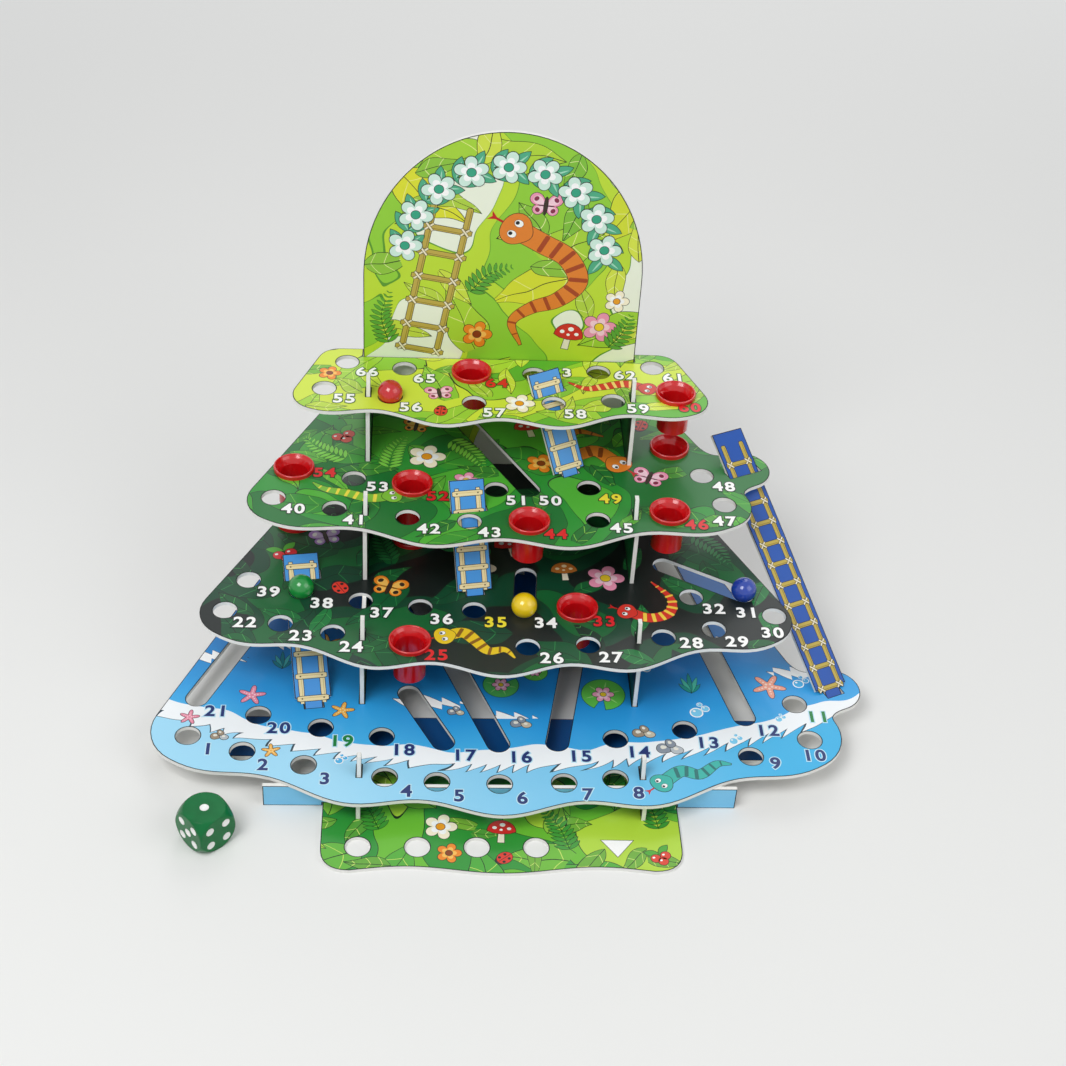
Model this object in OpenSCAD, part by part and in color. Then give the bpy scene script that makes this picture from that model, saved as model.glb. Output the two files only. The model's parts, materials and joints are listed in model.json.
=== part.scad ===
// Tiered snakes and ladders board: four printed card tiers on two stepped side panels,
// with drop funnels, rolling slots, slot-in ladders, a header panel, balls and a die.
// Millimetres, +Z up, players sit at -Y. The origin is the middle of the footprint on the table.

/* [Card] */
// Thickness of the printed board
card_t = 2; // [1.5:0.1:2.6]
// Clearance on each side of a panel, tab or tube in its slit or hole
slit_gap = 0.25; // [0.1:0.05:0.5]

/* [Tiers] */
// Height of the first tier's top face above the table
tier_1_z = 15; // [13:0.5:24]
// Rise from one tier to the next
tier_pitch = 34.5; // [33:0.5:50]
// Place of the front row of holes on the first tier
row_1_y = -80; // [-84:0.5:-76]
// Place of the front row of holes on the second tier
row_2_y = -20.5; // [-24:0.5:-18]
// Place of the front row of holes on the third tier
row_3_y = 34.5; // [32:0.5:37]
// Place of the front row of holes on the fourth tier
row_4_y = 89; // [87:0.5:91]
// Distance from a front row to the back row on the same tier
row_gap = 27; // [25:0.5:29]
// Radius of the arcs that the rows and the front edges follow
row_r = 390; // [340:5:460]
// Distance from a front row to the middle of the wavy front edge
front_land = 16.5; // [15:0.5:19]
// Height of the waves in the front edges
wave_h = 3.8; // [0.5:0.1:5]
// Place of the tiers' back edge
back_y = 137; // [136:0.5:140]
// Setback of the rounded back corners
back_bend = 9; // [3:0.5:12]

/* [Holes and slots] */
// Diameter of the holes that the balls sit in
hole_d = 12; // [10:0.25:12.5]
// Width of the slots that the balls roll along
slot_w = 11; // [9.5:0.25:12]

/* [Start board] */
// Half of the start board's width
start_half_w = 85.5; // [80:0.5:95]
// Place of the middle of its wavy front edge
start_front_y = -122.5; // [-130:0.5:-118]
// Height of the waves in its front edge
start_wave_h = 2; // [0:0.25:3]
// Place of its back edge, under the first tier
start_back_y = -22; // [-35:0.5:-10]
// Place of its row of holes
start_row_y = -108.5; // [-110:0.5:-106]
// Distance between its holes
start_pitch = 28; // [20:0.5:32]
// Distance of its first hole from its left edge
start_first_set = 17.5; // [14:0.5:22]
// Half of the width of its foot, which lies under the first tier
foot_half_w = 148; // [130:0.5:150]
// Place of that foot's front edge
foot_front_y = -50; // [-54:0.5:-44]
// Setback of its rounded front corners
start_bend = 14; // [6:0.5:20]

/* [Side panels] */
// Distance of each side panel from the middle plane
panel_x = 68.3; // [67.5:0.1:69]
// How far the lowest step stands in front of the first row
first_lead = 11; // [8:0.5:13]
// How far each higher step stands in front of the row above it
riser_lead = 5; // [3:0.5:8]
// How far each locating horn stands behind its row
horn_set = 4; // [3:0.5:6]
// Depth of a horn at its foot
horn_d = 8; // [6:0.5:10]
// Depth of a horn at its tip
horn_tip_d = 3.5; // [2:0.5:5]
// Height of a horn above its tier
horn_h = 11; // [6:0.5:16]
// Place of the panels' back edge
panel_back_y = 141.5; // [141:0.5:150]
// Depth of the foot tab that locks the start board
foot_tab_d = 16; // [8:0.5:24]
// Place of the front of that tab
foot_tab_y = -62; // [-70:0.5:-50]

/* [Front brace] */
// Half of the brace's length
brace_half_w = 114; // [105:0.5:120]
// Place of the brace's middle plane
brace_y = -79.5; // [-80.5:0.1:-79]

/* [Header] */
// Place of the header's middle plane
header_y = 131; // [130.5:0.1:132]
// Half of the header's width
header_half_w = 71.7; // [71.5:0.1:78]
// Height at which its straight sides end
header_spring_z = 168; // [150:1:190]
// Height of the arch above that
header_arch_h = 83; // [60:1:95]
// Height at which the header and the side panels lock into each other
header_lap_z = 58; // [45:1:75]

/* [Ladders] */
// Width of a ladder strip
ladder_w = 18; // [14:0.5:19]
// Thickness of a ladder strip
ladder_t = 1.6; // [1.2:0.1:2]
// Width of the tab at a ladder's foot
ladder_tab_w = 9; // [6:0.5:11]
// How far that tab shows below its tier
ladder_tab_out = 1; // [0.4:0.1:1.5]
// Land round the slits of the long ladder at the edges of its tiers
lug_land = 6; // [4:0.5:8]
// Length of the hollow curves that draw a lug out of its tier
lug_blend = 14; // [6:0.5:18]

/* [Funnels] */
// Diameter of a funnel's rim
funnel_rim_d = 21; // [20:0.25:22]
// Height of the rim above the tier
funnel_rim_h = 2.4; // [1.6:0.1:3.2]
// Outer diameter of a funnel's tube
funnel_tube_d = 16.3; // [15.8:0.1:17]
// Wall of the tube
funnel_wall = 1.1; // [0.8:0.1:1.2]
// How far the tube reaches below the tier's top face
funnel_drop = 20; // [14:0.5:21]

/* [Balls and die] */
// Diameter of a ball
ball_d = 13; // [12.6:0.1:13.6]
// Running gap between a ball and the rim that it sits in
ball_gap = 0.15; // [0.05:0.05:0.3]
// Width of the die over its flat faces
die_w = 20; // [14:0.5:22]
// Diameter of the ball that rounds the die's corners
die_round_d = 28; // [27:0.25:32]
// Diameter of a pip
pip_d = 4.3; // [2:0.1:4.4]
// Depth of a pip
pip_depth = 0.7; // [0.3:0.1:1]
// Distance between neighbouring pips
pip_pitch = 4.5; // [4.4:0.1:5]
// Place of the die on the table, across
die_x = -139; // [-150:1:-135]
// Place of the die on the table, front to back
die_y = -101; // [-106:1:-98]
// Turn of the die on the table
die_turn = 42; // [0:1:90]

/* [Hidden] */
$fn = 64;

// Tier heights and rows, first tier first
row_y = [row_1_y, row_2_y, row_3_y, row_4_y];
tier_z = [for (i = [0:3]) tier_1_z + i * tier_pitch];
ledge_z = [for (z = tier_z) z - card_t];

// Numbers on the tiers: the front row runs to the right, the back row comes back to the left
first_number = [1, 22, 40, 55];
front_x = [[-152, -125, -95, -56, -31, -1, 30, 55, 123, 154],
           [-137, -109, -83, -45, 13, 43, 81, 107, 139],
           [-115, -84, -47, -16, 14, 49, 86, 115],
           [-91, -57, -14, 27, 58, 91]];
back_x = [[150, 123, 92, 57, 28, -1, -28, -58, -88, -119, -150],
          [125, 98, 39, 12, -13, -40, -70, -100, -127],
          [106, 46, 15, -2, -45, -75, -106],
          [81, 52, 18, -15, -50, -80]];
// Number 31 sits a little in front of its row
nudged_number = 31;
nudge_y = -6;

// Each slide drops from the first number and rolls out at the second
slides = [[64, 50], [60, 12], [54, 21], [52, 16], [44, 34], [46, 31], [33, 15], [25, 17]];

// Ladders: foot number and its offset, head number and its offset, length above the upper tier
ladders = [[11, [20.5, 11], 48, [21.5, 6], 22],
           [19, [-4.5, 19], 38, [-0.5, 14], 10.5],
           [35, [0.5, 14], 51, [-14.5, -16.5], 15],
           [49, [-9.5, 13], 63, [6.5, -16], 11]];
long_ladder = 0;

// Wavy front edges: wave length, 1 for a lobe or -1 for a bay in the middle,
// where the left and right corners start, and the corner radius
wave_len = [75, 65, 72, 62];
wave_sign = [1, 1, -1, -1];
left_end = [159.5, 141, 119, 99];
right_end = [159.5, 138.5, 120, 100];
corner_r = [25, 20, 19, 14];
back_half = [98, 86, 90, 92];
start_wave_len = 90;
edge_steps = 72;
bend_steps = 8;
header_steps = 48;
past = 1;

function arc_y(x) = row_r - sqrt(row_r * row_r - x * x);
function tier_of(n) = n < first_number[1] ? 0 : n < first_number[2] ? 1 : n < first_number[3] ? 2 : 3;
function index_of(n) = n - first_number[tier_of(n)];
function in_front(n) = index_of(n) < len(front_x[tier_of(n)]);
function spot_x(n) = in_front(n) ? front_x[tier_of(n)][index_of(n)]
                                 : back_x[tier_of(n)][index_of(n) - len(front_x[tier_of(n)])];
function spot_y(n) = row_y[tier_of(n)] + (in_front(n) ? 0 : row_gap) + arc_y(spot_x(n))
                     + (n == nudged_number ? nudge_y : 0);
function spot(n) = [spot_x(n), spot_y(n)];
function numbers_on(i) = [for (k = [0:len(front_x[i]) + len(back_x[i]) - 1]) first_number[i] + k];
function is_plain_hole(n) = len([for (s = slides) if (s[0] == n || s[1] == n) n]) == 0;

// Front edge of a tier and its slope
function edge_y(i, x) = row_y[i] - front_land + arc_y(x)
                        - wave_sign[i] * wave_h * cos(360 * x / wave_len[i]);
function edge_slope(i, x) = x / sqrt(row_r * row_r - x * x)
                            + wave_sign[i] * wave_h * 2 * PI / wave_len[i] * sin(360 * x / wave_len[i]);
// Right-hand corner: a circle that touches the front edge at x and the straight side to the back
function corner_centre(i, x) = let (m = edge_slope(i, x))
    [x, edge_y(i, x)] + corner_r[i] / sqrt(1 + m * m) * [-m, 1];
function side_angle(i, x) = let (d = [back_half[i], back_y] - corner_centre(i, x))
    atan2(d[1], d[0]) - acos(corner_r[i] / norm(d));
function corner_arc(i, x) = let (c = corner_centre(i, x), from = atan(edge_slope(i, x)) - 90)
    [for (k = [0:bend_steps]) let (a = from + (side_angle(i, x) - from) * k / bend_steps)
        c + corner_r[i] * [cos(a), sin(a)]];
// A bend from a to b that the corner p pulls out
function bend(a, p, b) = [for (k = [0:bend_steps]) let (t = k / bend_steps)
    (1 - t) * (1 - t) * a + 2 * t * (1 - t) * p + t * t * b];
function unit(v) = v / norm(v);
function back_corner(i, x) = let (p = [back_half[i], back_y], arc = corner_arc(i, x), foot = arc[bend_steps])
    bend(p + back_bend * unit(foot - p), p, p - [back_bend, 0]);
function right_side(i, x) = concat(corner_arc(i, x), back_corner(i, x));
function mirrored(points) = [for (k = [len(points) - 1:-1:0]) [-points[k][0], points[k][1]]];
function front_edge(i) = [for (k = [1:edge_steps - 1])
    let (x = -left_end[i] + (left_end[i] + right_end[i]) * k / edge_steps) [x, edge_y(i, x)]];
function tier_outline(i) = concat(mirrored(right_side(i, left_end[i])), front_edge(i),
                                  right_side(i, right_end[i]));

// Ladder places
function foot_at(l) = spot(l[0]) + l[1];
function head_at(l) = spot(l[2]) + l[3];
function run_of(l) = norm(head_at(l) - foot_at(l));
function rise_of(l) = tier_z[tier_of(l[2])] - tier_z[tier_of(l[0])];
function slope_of(l) = atan2(rise_of(l), run_of(l));
function heading_of(l) = let (p = head_at(l) - foot_at(l)) atan2(-p[0], p[1]);

// Side panel places
riser_y = [row_y[0] - first_lead, for (i = [1:3]) row_y[i] - riser_lead];
horn_y = [for (y = row_y) y + horn_set];
slit_w = card_t + 2 * slit_gap;
notch_y = header_y - card_t / 2 - slit_gap;
brace_lap_z = (card_t + ledge_z[0]) / 2;

// Middle of the footprint
left_reach = corner_centre(0, left_end[0])[0] + corner_r[0];
lug_r = ladder_w / 2 + lug_land;
right_reach = foot_at(ladders[long_ladder])[0] + lug_r;
front_reach = start_front_y - start_wave_h;
centre = [(right_reach - left_reach) / 2, (front_reach + panel_back_y) / 2];

card_white = [0.95, 0.95, 0.93];

module placed() {
    translate([-centre[0], -centre[1], 0]) children();
}

// A slot with round ends between two places on a tier
module slot_cut(from, to, width, height) {
    reach = to - from;
    translate([from[0], from[1], 0]) rotate([0, 0, atan2(reach[1], reach[0])]) {
        cylinder(d = width, h = height);
        translate([0, -width / 2, 0]) cube([norm(reach), width, height]);
        translate([norm(reach), 0, 0]) cylinder(d = width, h = height);
    }
}

// The slit that a sloping strip of a given width needs in a tier
module ladder_slit(l, place, width) {
    slope = slope_of(l);
    through = ladder_t / sin(slope) + card_t / tan(slope) + 2 * slit_gap;
    translate([place[0], place[1], 0]) rotate([0, 0, heading_of(l)])
        translate([-width / 2 - slit_gap, -card_t / 2 / tan(slope) - through / 2, -past])
            cube([width + 2 * slit_gap, through, card_t + 2 * past]);
}

// A tier before its slits are cut, with lugs where the long ladder stands at its edge
module tier_blank(i) {
    l = ladders[long_ladder];
    linear_extrude(card_t) polygon(tier_outline(i));
    if (i == tier_of(l[0])) lug(i, foot_at(l));
    if (i == tier_of(l[2])) lug(i, head_at(l));
}

// A round lug beside the right-hand side of a tier, drawn out of that side in two hollow curves.
// The front curve starts where the rounded corner ends, if that is nearer than its own length.
module lug(i, place) {
    foot = corner_arc(i, right_end[i])[bend_steps];
    way = unit([back_half[i], back_y] - foot);
    along = (place - foot) * way;
    beside = foot + way * along;
    inward = past * unit(beside - place);
    back_root = lug_r + lug_blend;
    front_root = min(back_root, along);
    translate(place) cylinder(r = lug_r, h = card_t);
    linear_extrude(card_t) polygon(concat(
        [beside - way * front_root + inward],
        bend(beside - way * front_root, beside - way * lug_r, place - way * lug_r),
        bend(place + way * lug_r, beside + way * lug_r, beside + way * back_root),
        [beside + way * back_root + inward]));
}

module tier_cuts(i) {
    for (n = numbers_on(i)) if (is_plain_hole(n))
        translate([spot_x(n), spot_y(n), -past]) cylinder(d = hole_d, h = card_t + 2 * past);
    for (s = slides) {
        if (tier_of(s[1]) == i)
            translate([0, 0, -past]) slot_cut(spot(s[1]), spot(s[0]), slot_w, card_t + 2 * past);
        if (tier_of(s[0]) >= i && tier_of(s[1]) < i)
            translate([spot_x(s[0]), spot_y(s[0]), -past])
                cylinder(d = funnel_tube_d + 2 * slit_gap, h = card_t + 2 * past);
    }
    for (l = ladders) {
        if (tier_of(l[0]) == i) ladder_slit(l, foot_at(l), ladder_tab_w);
        if (tier_of(l[2]) == i) ladder_slit(l, head_at(l), ladder_w);
    }
    for (side = [-1, 1]) {
        translate([side * panel_x - slit_w / 2, horn_y[i] - slit_gap, -past])
            cube([slit_w, horn_d + 2 * slit_gap, card_t + 2 * past]);
        if (i < 3) translate([side * panel_x - slit_w / 2, riser_y[i + 1] - slit_gap, -past])
            cube([slit_w, panel_back_y - riser_y[i + 1], card_t + 2 * past]);
    }
    translate([-header_half_w - slit_gap, notch_y, -past])
        cube([2 * (header_half_w + slit_gap), panel_back_y - notch_y, card_t + 2 * past]);
}

module tier_board(i) {
    translate([0, 0, ledge_z[i]]) difference() {
        tier_blank(i);
        tier_cuts(i);
    }
}

module tier_1_board() { color([0.36, 0.70, 0.90]) tier_board(0); }
module tier_2_board() { color([0.05, 0.16, 0.10]) tier_board(1); }
module tier_3_board() { color([0.12, 0.42, 0.16]) tier_board(2); }
module tier_4_board() { color([0.62, 0.78, 0.20]) tier_board(3); }

// Start board: flat on the table, in front of the first tier and with a wide foot under it
module start_board() {
    wave = [for (k = [0:edge_steps]) let (x = (start_half_w - start_bend) * (2 * k / edge_steps - 1))
        [x, start_front_y - start_wave_h * cos(360 * x / start_wave_len)]];
    right_corner = bend(wave[edge_steps], [start_half_w, wave[edge_steps][1]],
                        [start_half_w, wave[edge_steps][1] + start_bend]);
    foot = [[start_half_w, foot_front_y], [foot_half_w, foot_front_y], [foot_half_w, start_back_y]];
    color([0.55, 0.75, 0.20]) difference() {
        linear_extrude(card_t) polygon(concat(mirrored(right_corner), wave, right_corner,
            foot, mirrored(foot)));
        for (k = [0:3])
            translate([start_first_set - start_half_w + start_pitch * k, start_row_y, -past])
                cylinder(d = hole_d, h = card_t + 2 * past);
        for (side = [-1, 1])
            translate([side * panel_x - slit_w / 2, foot_tab_y - slit_gap, -past])
                cube([slit_w, foot_tab_d + 2 * slit_gap, card_t + 2 * past]);
    }
}

// Outline of a side panel in front-to-back and height, from the front foot round the back
function panel_step(i) = [[horn_y[i] + horn_d, ledge_z[i]],
    [horn_y[i] + (horn_d + horn_tip_d) / 2, tier_z[i] + horn_h],
    [horn_y[i] + (horn_d - horn_tip_d) / 2, tier_z[i] + horn_h],
    [horn_y[i], tier_z[i]], [horn_y[i], ledge_z[i]],
    [riser_y[i], ledge_z[i]], [riser_y[i], i > 0 ? ledge_z[i - 1] : card_t]];
panel_outline = concat(
    [[foot_tab_y, card_t], [foot_tab_y, 0], [foot_tab_y + foot_tab_d, 0], [foot_tab_y + foot_tab_d, card_t],
     [start_back_y + slit_gap, card_t], [start_back_y + slit_gap, 0],
     [panel_back_y, 0], [panel_back_y, ledge_z[3]]],
    panel_step(3), panel_step(2), panel_step(1), panel_step(0));

module side_panel(side) {
    color(card_white) translate([side * panel_x, 0, 0]) difference() {
        translate([-card_t / 2, 0, 0]) rotate([90, 0, 90]) linear_extrude(card_t) polygon(panel_outline);
        translate([-card_t / 2 - past, header_y - slit_w / 2, header_lap_z - slit_gap])
            cube([card_t + 2 * past, slit_w, ledge_z[3] - header_lap_z + slit_gap + past]);
        translate([-card_t / 2 - past, brace_y - slit_w / 2, brace_lap_z - slit_gap])
            cube([card_t + 2 * past, slit_w, ledge_z[0] - brace_lap_z + slit_gap + past]);
    }
}

// Front brace: stands under the first tier's front edge and ties the side panels
module front_brace() {
    color([0.45, 0.72, 0.90]) difference() {
        translate([-brace_half_w, brace_y - card_t / 2, 0]) cube([2 * brace_half_w, card_t, ledge_z[0]]);
        translate([-start_half_w - slit_gap, brace_y - card_t / 2 - past, -past])
            cube([2 * (start_half_w + slit_gap), card_t + 2 * past, card_t + past]);
        for (side = [-1, 1])
            translate([side * panel_x - slit_w / 2, brace_y - card_t / 2 - past, 0])
                cube([slit_w, card_t + 2 * past, brace_lap_z + slit_gap]);
    }
}

// Header: the tall back panel with an arched top, locked into both side panels
module header_panel() {
    arch = [for (k = [0:header_steps]) let (a = 180 * k / header_steps)
        [header_half_w * cos(a), header_spring_z + header_arch_h * sin(a)]];
    color([0.70, 0.84, 0.30]) difference() {
        translate([0, header_y + card_t / 2, 0]) rotate([90, 0, 0]) linear_extrude(card_t)
            polygon(concat([[-header_half_w, 0], [header_half_w, 0]], arch));
        for (side = [-1, 1])
            translate([side * panel_x - slit_w / 2, header_y - card_t / 2 - past, -past])
                cube([slit_w, card_t + 2 * past, header_lap_z + slit_gap + past]);
    }
}

// A ladder strip: its shoulders stand on the lower tier, its tab locks there,
// and its head leans through the upper tier
module ladder(l) {
    slope = slope_of(l);
    foot = foot_at(l);
    shoulder = ladder_t / 2 / tan(slope) + slit_gap;
    tab_reach = (card_t + ladder_tab_out) / sin(slope);
    color([0.10, 0.36, 0.68])
        translate([foot[0], foot[1], tier_z[tier_of(l[0])]]) rotate([0, 0, heading_of(l)])
            rotate([slope, 0, 0]) translate([0, 0, -ladder_t / 2]) {
                translate([-ladder_w / 2, shoulder, 0])
                    cube([ladder_w, rise_of(l) / sin(slope) + l[4] - shoulder, ladder_t]);
                translate([-ladder_tab_w / 2, -tab_reach, 0])
                    cube([ladder_tab_w, tab_reach + shoulder + past, ladder_t]);
            }
}

// A funnel: a dished rim on the tier and a straight tube that drops the ball to the next tier
module funnel(n, i) {
    tube_r = funnel_tube_d / 2;
    bore_r = tube_r - funnel_wall;
    rim_r = funnel_rim_d / 2;
    lip_r = funnel_wall / 2;
    color([0.85, 0.05, 0.07]) translate([spot_x(n), spot_y(n), tier_z[i]]) rotate_extrude() {
        polygon([[bore_r, -funnel_drop], [tube_r, -funnel_drop], [tube_r, 0], [rim_r, 0],
                 [rim_r, funnel_rim_h - lip_r], [rim_r - funnel_wall, funnel_rim_h - lip_r],
                 [rim_r - 2 * funnel_wall, lip_r], [bore_r, -card_t]]);
        translate([rim_r - lip_r, funnel_rim_h - lip_r]) circle(r = lip_r);
    }
}

// Height of a ball's middle above a tier when it sits in an opening of a given width
function seat_h(width) = sqrt(pow(ball_d / 2 + ball_gap, 2) - pow(width / 2, 2));

module ball(n, width) {
    translate([spot_x(n), spot_y(n), tier_z[tier_of(n)] + seat_h(width)]) sphere(d = ball_d);
}

module red_ball() { color([0.85, 0.06, 0.06]) ball(56, hole_d); }
module green_ball() { color([0.10, 0.60, 0.20]) ball(38, hole_d); }
module yellow_ball() { color([0.98, 0.85, 0.10]) ball(34, slot_w); }
module blue_ball() { color([0.08, 0.22, 0.70]) ball(31, slot_w); }

// Pip places on one face, for a count from 1 to 6
function pips(count) = concat(count % 2 == 1 ? [[0, 0]] : [],
    count > 1 ? [[-1, -1], [1, 1]] : [], count > 3 ? [[-1, 1], [1, -1]] : [],
    count == 6 ? [[-1, 0], [1, 0]] : []);
pip_ball_r = (pow(pip_d / 2, 2) + pow(pip_depth, 2)) / (2 * pip_depth);

module die_face(count) {
    for (p = pips(count))
        translate([p[0] * pip_pitch, p[1] * pip_pitch, die_w / 2 + pip_ball_r - pip_depth])
            sphere(r = pip_ball_r);
}

module die() {
    color([0.05, 0.45, 0.25]) translate([die_x, die_y, die_w / 2]) rotate([0, 0, die_turn]) difference() {
        intersection() {
            cube(die_w, center = true);
            sphere(d = die_round_d);
        }
        die_face(1);
        rotate([180, 0, 0]) die_face(6);
        rotate([90, 0, 0]) die_face(4);
        rotate([-90, 0, 0]) die_face(3);
        rotate([0, 90, 0]) die_face(2);
        rotate([0, -90, 0]) die_face(5);
    }
}

placed() start_board();
placed() front_brace();
placed() side_panel(-1);  // left_side_panel
placed() side_panel(1);  // right_side_panel
placed() tier_1_board();
placed() tier_2_board();
placed() tier_3_board();
placed() tier_4_board();
placed() header_panel();
placed() ladder(ladders[0]);  // ladder_11_to_48
placed() ladder(ladders[1]);  // ladder_19_to_38
placed() ladder(ladders[2]);  // ladder_35_to_51
placed() ladder(ladders[3]);  // ladder_49_to_63
placed() funnel(25, 1);  // funnel_25
placed() funnel(33, 1);  // funnel_33
placed() funnel(44, 2);  // funnel_44
placed() funnel(46, 2);  // funnel_46
placed() funnel(52, 2);  // funnel_52_upper
placed() funnel(52, 1);  // funnel_52_lower
placed() funnel(54, 2);  // funnel_54_upper
placed() funnel(54, 1);  // funnel_54_lower
placed() funnel(60, 3);  // funnel_60_upper
placed() funnel(60, 2);  // funnel_60_middle
placed() funnel(60, 1);  // funnel_60_lower
placed() funnel(64, 3);  // funnel_64
placed() red_ball();
placed() green_ball();
placed() yellow_ball();
placed() blue_ball();
placed() die();
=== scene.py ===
"""Looks of the tiered snakes and ladders board: printed card, moulded funnels, balls and a die."""

import json
import math
import random

import bmesh
import bpy
from mathutils import Matrix, Vector


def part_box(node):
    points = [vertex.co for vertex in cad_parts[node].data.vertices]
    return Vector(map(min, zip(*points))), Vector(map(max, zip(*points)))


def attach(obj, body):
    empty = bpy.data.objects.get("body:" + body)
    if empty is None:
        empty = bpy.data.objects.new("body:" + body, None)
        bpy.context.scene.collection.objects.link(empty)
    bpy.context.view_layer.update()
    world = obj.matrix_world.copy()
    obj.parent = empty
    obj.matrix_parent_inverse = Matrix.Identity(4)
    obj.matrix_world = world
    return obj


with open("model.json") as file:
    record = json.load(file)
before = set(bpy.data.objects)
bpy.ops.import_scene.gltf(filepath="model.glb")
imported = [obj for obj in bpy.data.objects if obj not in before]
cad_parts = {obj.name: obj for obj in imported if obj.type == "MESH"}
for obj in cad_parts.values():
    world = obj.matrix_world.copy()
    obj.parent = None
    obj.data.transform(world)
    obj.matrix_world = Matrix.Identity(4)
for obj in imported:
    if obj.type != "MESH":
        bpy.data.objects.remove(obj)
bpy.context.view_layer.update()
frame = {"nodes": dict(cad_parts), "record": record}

MM = 0.001
UP = Vector((0, 0, 1))
FRONT = Vector((0, -1, 0))
BACK = -FRONT
RIGHT = Vector((1, 0, 0))
WELD = 1e-6         # points nearer than this are one
BLACK = "#15181a"
WHITE = "#fdfdfb"
random.seed(8110)

# Layers of the print, in millimetres
RIM = 0.45          # black line left along every cut edge
SHEET = 0.10        # paper layer that carries the print
INK = 0.015         # step from one printed colour to the next, thicker than life
LINE = 0.30         # black line round a printed figure
FIBRE = 0.6         # grain of the coated card, coarser than life so that it shows
FIBRE_HIGH = 0.05

# Numbers, in millimetres
LABEL_HIGH = 10.4                         # type size
LABEL_BOLD = 0.32                         # how far a digit's outline is fattened
LABEL_HALO = 0.50                         # edge round a digit
LABEL_LAYER = 12                          # numbers are printed over every figure
DIGIT_STEP = 0.25                         # least distance between the points of a digit's outline
DIGIT_PITCH = 6.3                         # from one digit to the next
LABEL_HALF = Vector((1.7, 0))             # a digit takes up this much each way from its middle
LABEL_HALF_HIGH = 3.9
LABEL_ROOM = 2.4                          # free radius that a number needs at each end
LABEL_SET = Vector((10.5, -9.5))          # number from its hole
FUNNEL_LABEL_SET = Vector((13.0, -9.5))   # number from its funnel
# Numbers that have less room, at the edge of their card
EDGE_LABEL_SET = {9: Vector((11.5, -5.0)), 10: Vector((0.5, -11.3)), 60: Vector((9.0, -10.5))}

# The rows of holes, in millimetres
HOLE_D = 12.0
HOLE_NEAR = 0.6     # an opening that differs less than this from a hole is one
SLOT_W = 11.0
SLOT_AREA = 300.0   # an opening larger than this, and longer than two holes, is a slot
SLIT_AREA = 70.0    # an opening smaller than this is a slit for a panel or a ladder
SLIT_HALF = 1.5
ROW_R = 390.0       # every row lies on an arc of this radius
ROWS_X = (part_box("header_panel")[0][0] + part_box("header_panel")[1][0]) / 2 / MM
FUNNEL_RIM_R = 10.5
NUMBERED_FUNNELS = ["funnel_25", "funnel_33", "funnel_44", "funnel_46", "funnel_52_upper", "funnel_54_upper",
                    "funnel_60_upper", "funnel_64"]

# Room round a printed figure, in millimetres
FIGURE_GAP = 1.0    # to an opening, a number or another figure
EDGE_GAP = 1.5      # to the card's edge
FIGURE_ROOM = 1.05  # a figure's free radius, as a share of its size
FRONT_REACH = 16.0  # how far before the front row figures may lie


# Colour and nodes

def srgb(code):
    """A colour written as sRGB hex, as linear values."""
    values = [int(code[i:i + 2], 16) / 255 for i in (1, 3, 5)]
    linear = [v / 12.92 if v <= 0.04045 else ((v + 0.055) / 1.055) ** 2.4 for v in values]
    return (*linear, 1.0)


def wire(tree, node, inputs):
    """Gives a node its inputs, by name or in the order of its sockets: values, sockets or nodes to link."""
    sockets = [s for s in node.inputs if s.enabled]
    if isinstance(inputs, dict):
        sockets = [next(s for s in sockets if s.name == name) for name in inputs]
        inputs = inputs.values()
    for socket, value in zip(sockets, inputs):
        if isinstance(value, bpy.types.Node):
            value = next(s for s in value.outputs if s.enabled)
        if isinstance(value, bpy.types.NodeSocket):
            tree.links.new(value, socket)
        else:
            socket.default_value = value


def add(tree, kind, inputs=(), **settings):
    """Adds a node with its settings and inputs; a kind without a family is a shader node."""
    made = tree.nodes.new(kind if "Node" in kind else "ShaderNode" + kind)
    for name, value in settings.items():
        setattr(made, name, value)
    wire(tree, made, inputs)
    return made


def new_finish(name, constants):
    """A new material, with the values that are the same all over it set on its shader."""
    made = bpy.data.materials.new(name)
    made.use_nodes = True
    shader = made.node_tree.nodes["Principled BSDF"]
    wire(made.node_tree, shader, constants)
    return made, made.node_tree, shader


def board_mm(tree, rightward=RIGHT, upward=BACK):
    """Object coordinates in millimetres, turned so that x and y lie in the printed face."""
    turn = Matrix((rightward, upward, rightward.cross(upward))).to_euler()
    return add(tree, "Mapping", {"Vector": add(tree, "TexCoord").outputs["Object"], "Rotation": turn,
                                 "Scale": (1 / MM, 1 / MM, 1 / MM)})


def paper_grain(tree, shader, mm, strength):
    """Fine fibre bump of coated card."""
    fibre = add(tree, "TexNoise", {"Vector": mm, "Scale": 1 / FIBRE, "Detail": 3.0})
    bump = add(tree, "Bump", {"Height": fibre, "Strength": strength, "Distance": FIBRE_HIGH * MM})
    wire(tree, shader, {"Normal": bump})
    return fibre


def varnished(name, rightward=RIGHT, upward=BACK):
    """The start of a printed finish: satin varnish through which the paper's grain just shows."""
    made, tree, shader = new_finish(name, {"Roughness": 0.38, "Specular IOR Level": 0.35,
                                           "Coat Weight": 0.08})
    mm = board_mm(tree, rightward, upward)
    fibre = paper_grain(tree, shader, mm, 0.12)
    return made, tree, shader, mm, fibre


def set_stops(ramp, stops):
    """Gives a colour ramp its stops, as places and sRGB codes."""
    while len(ramp.color_ramp.elements) < len(stops):
        ramp.color_ramp.elements.new(1.0)
    for stop, (place, code) in zip(ramp.color_ramp.elements, stops):
        stop.position = place
        stop.color = srgb(code)


# Materials, with pattern sizes in millimetres

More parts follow.
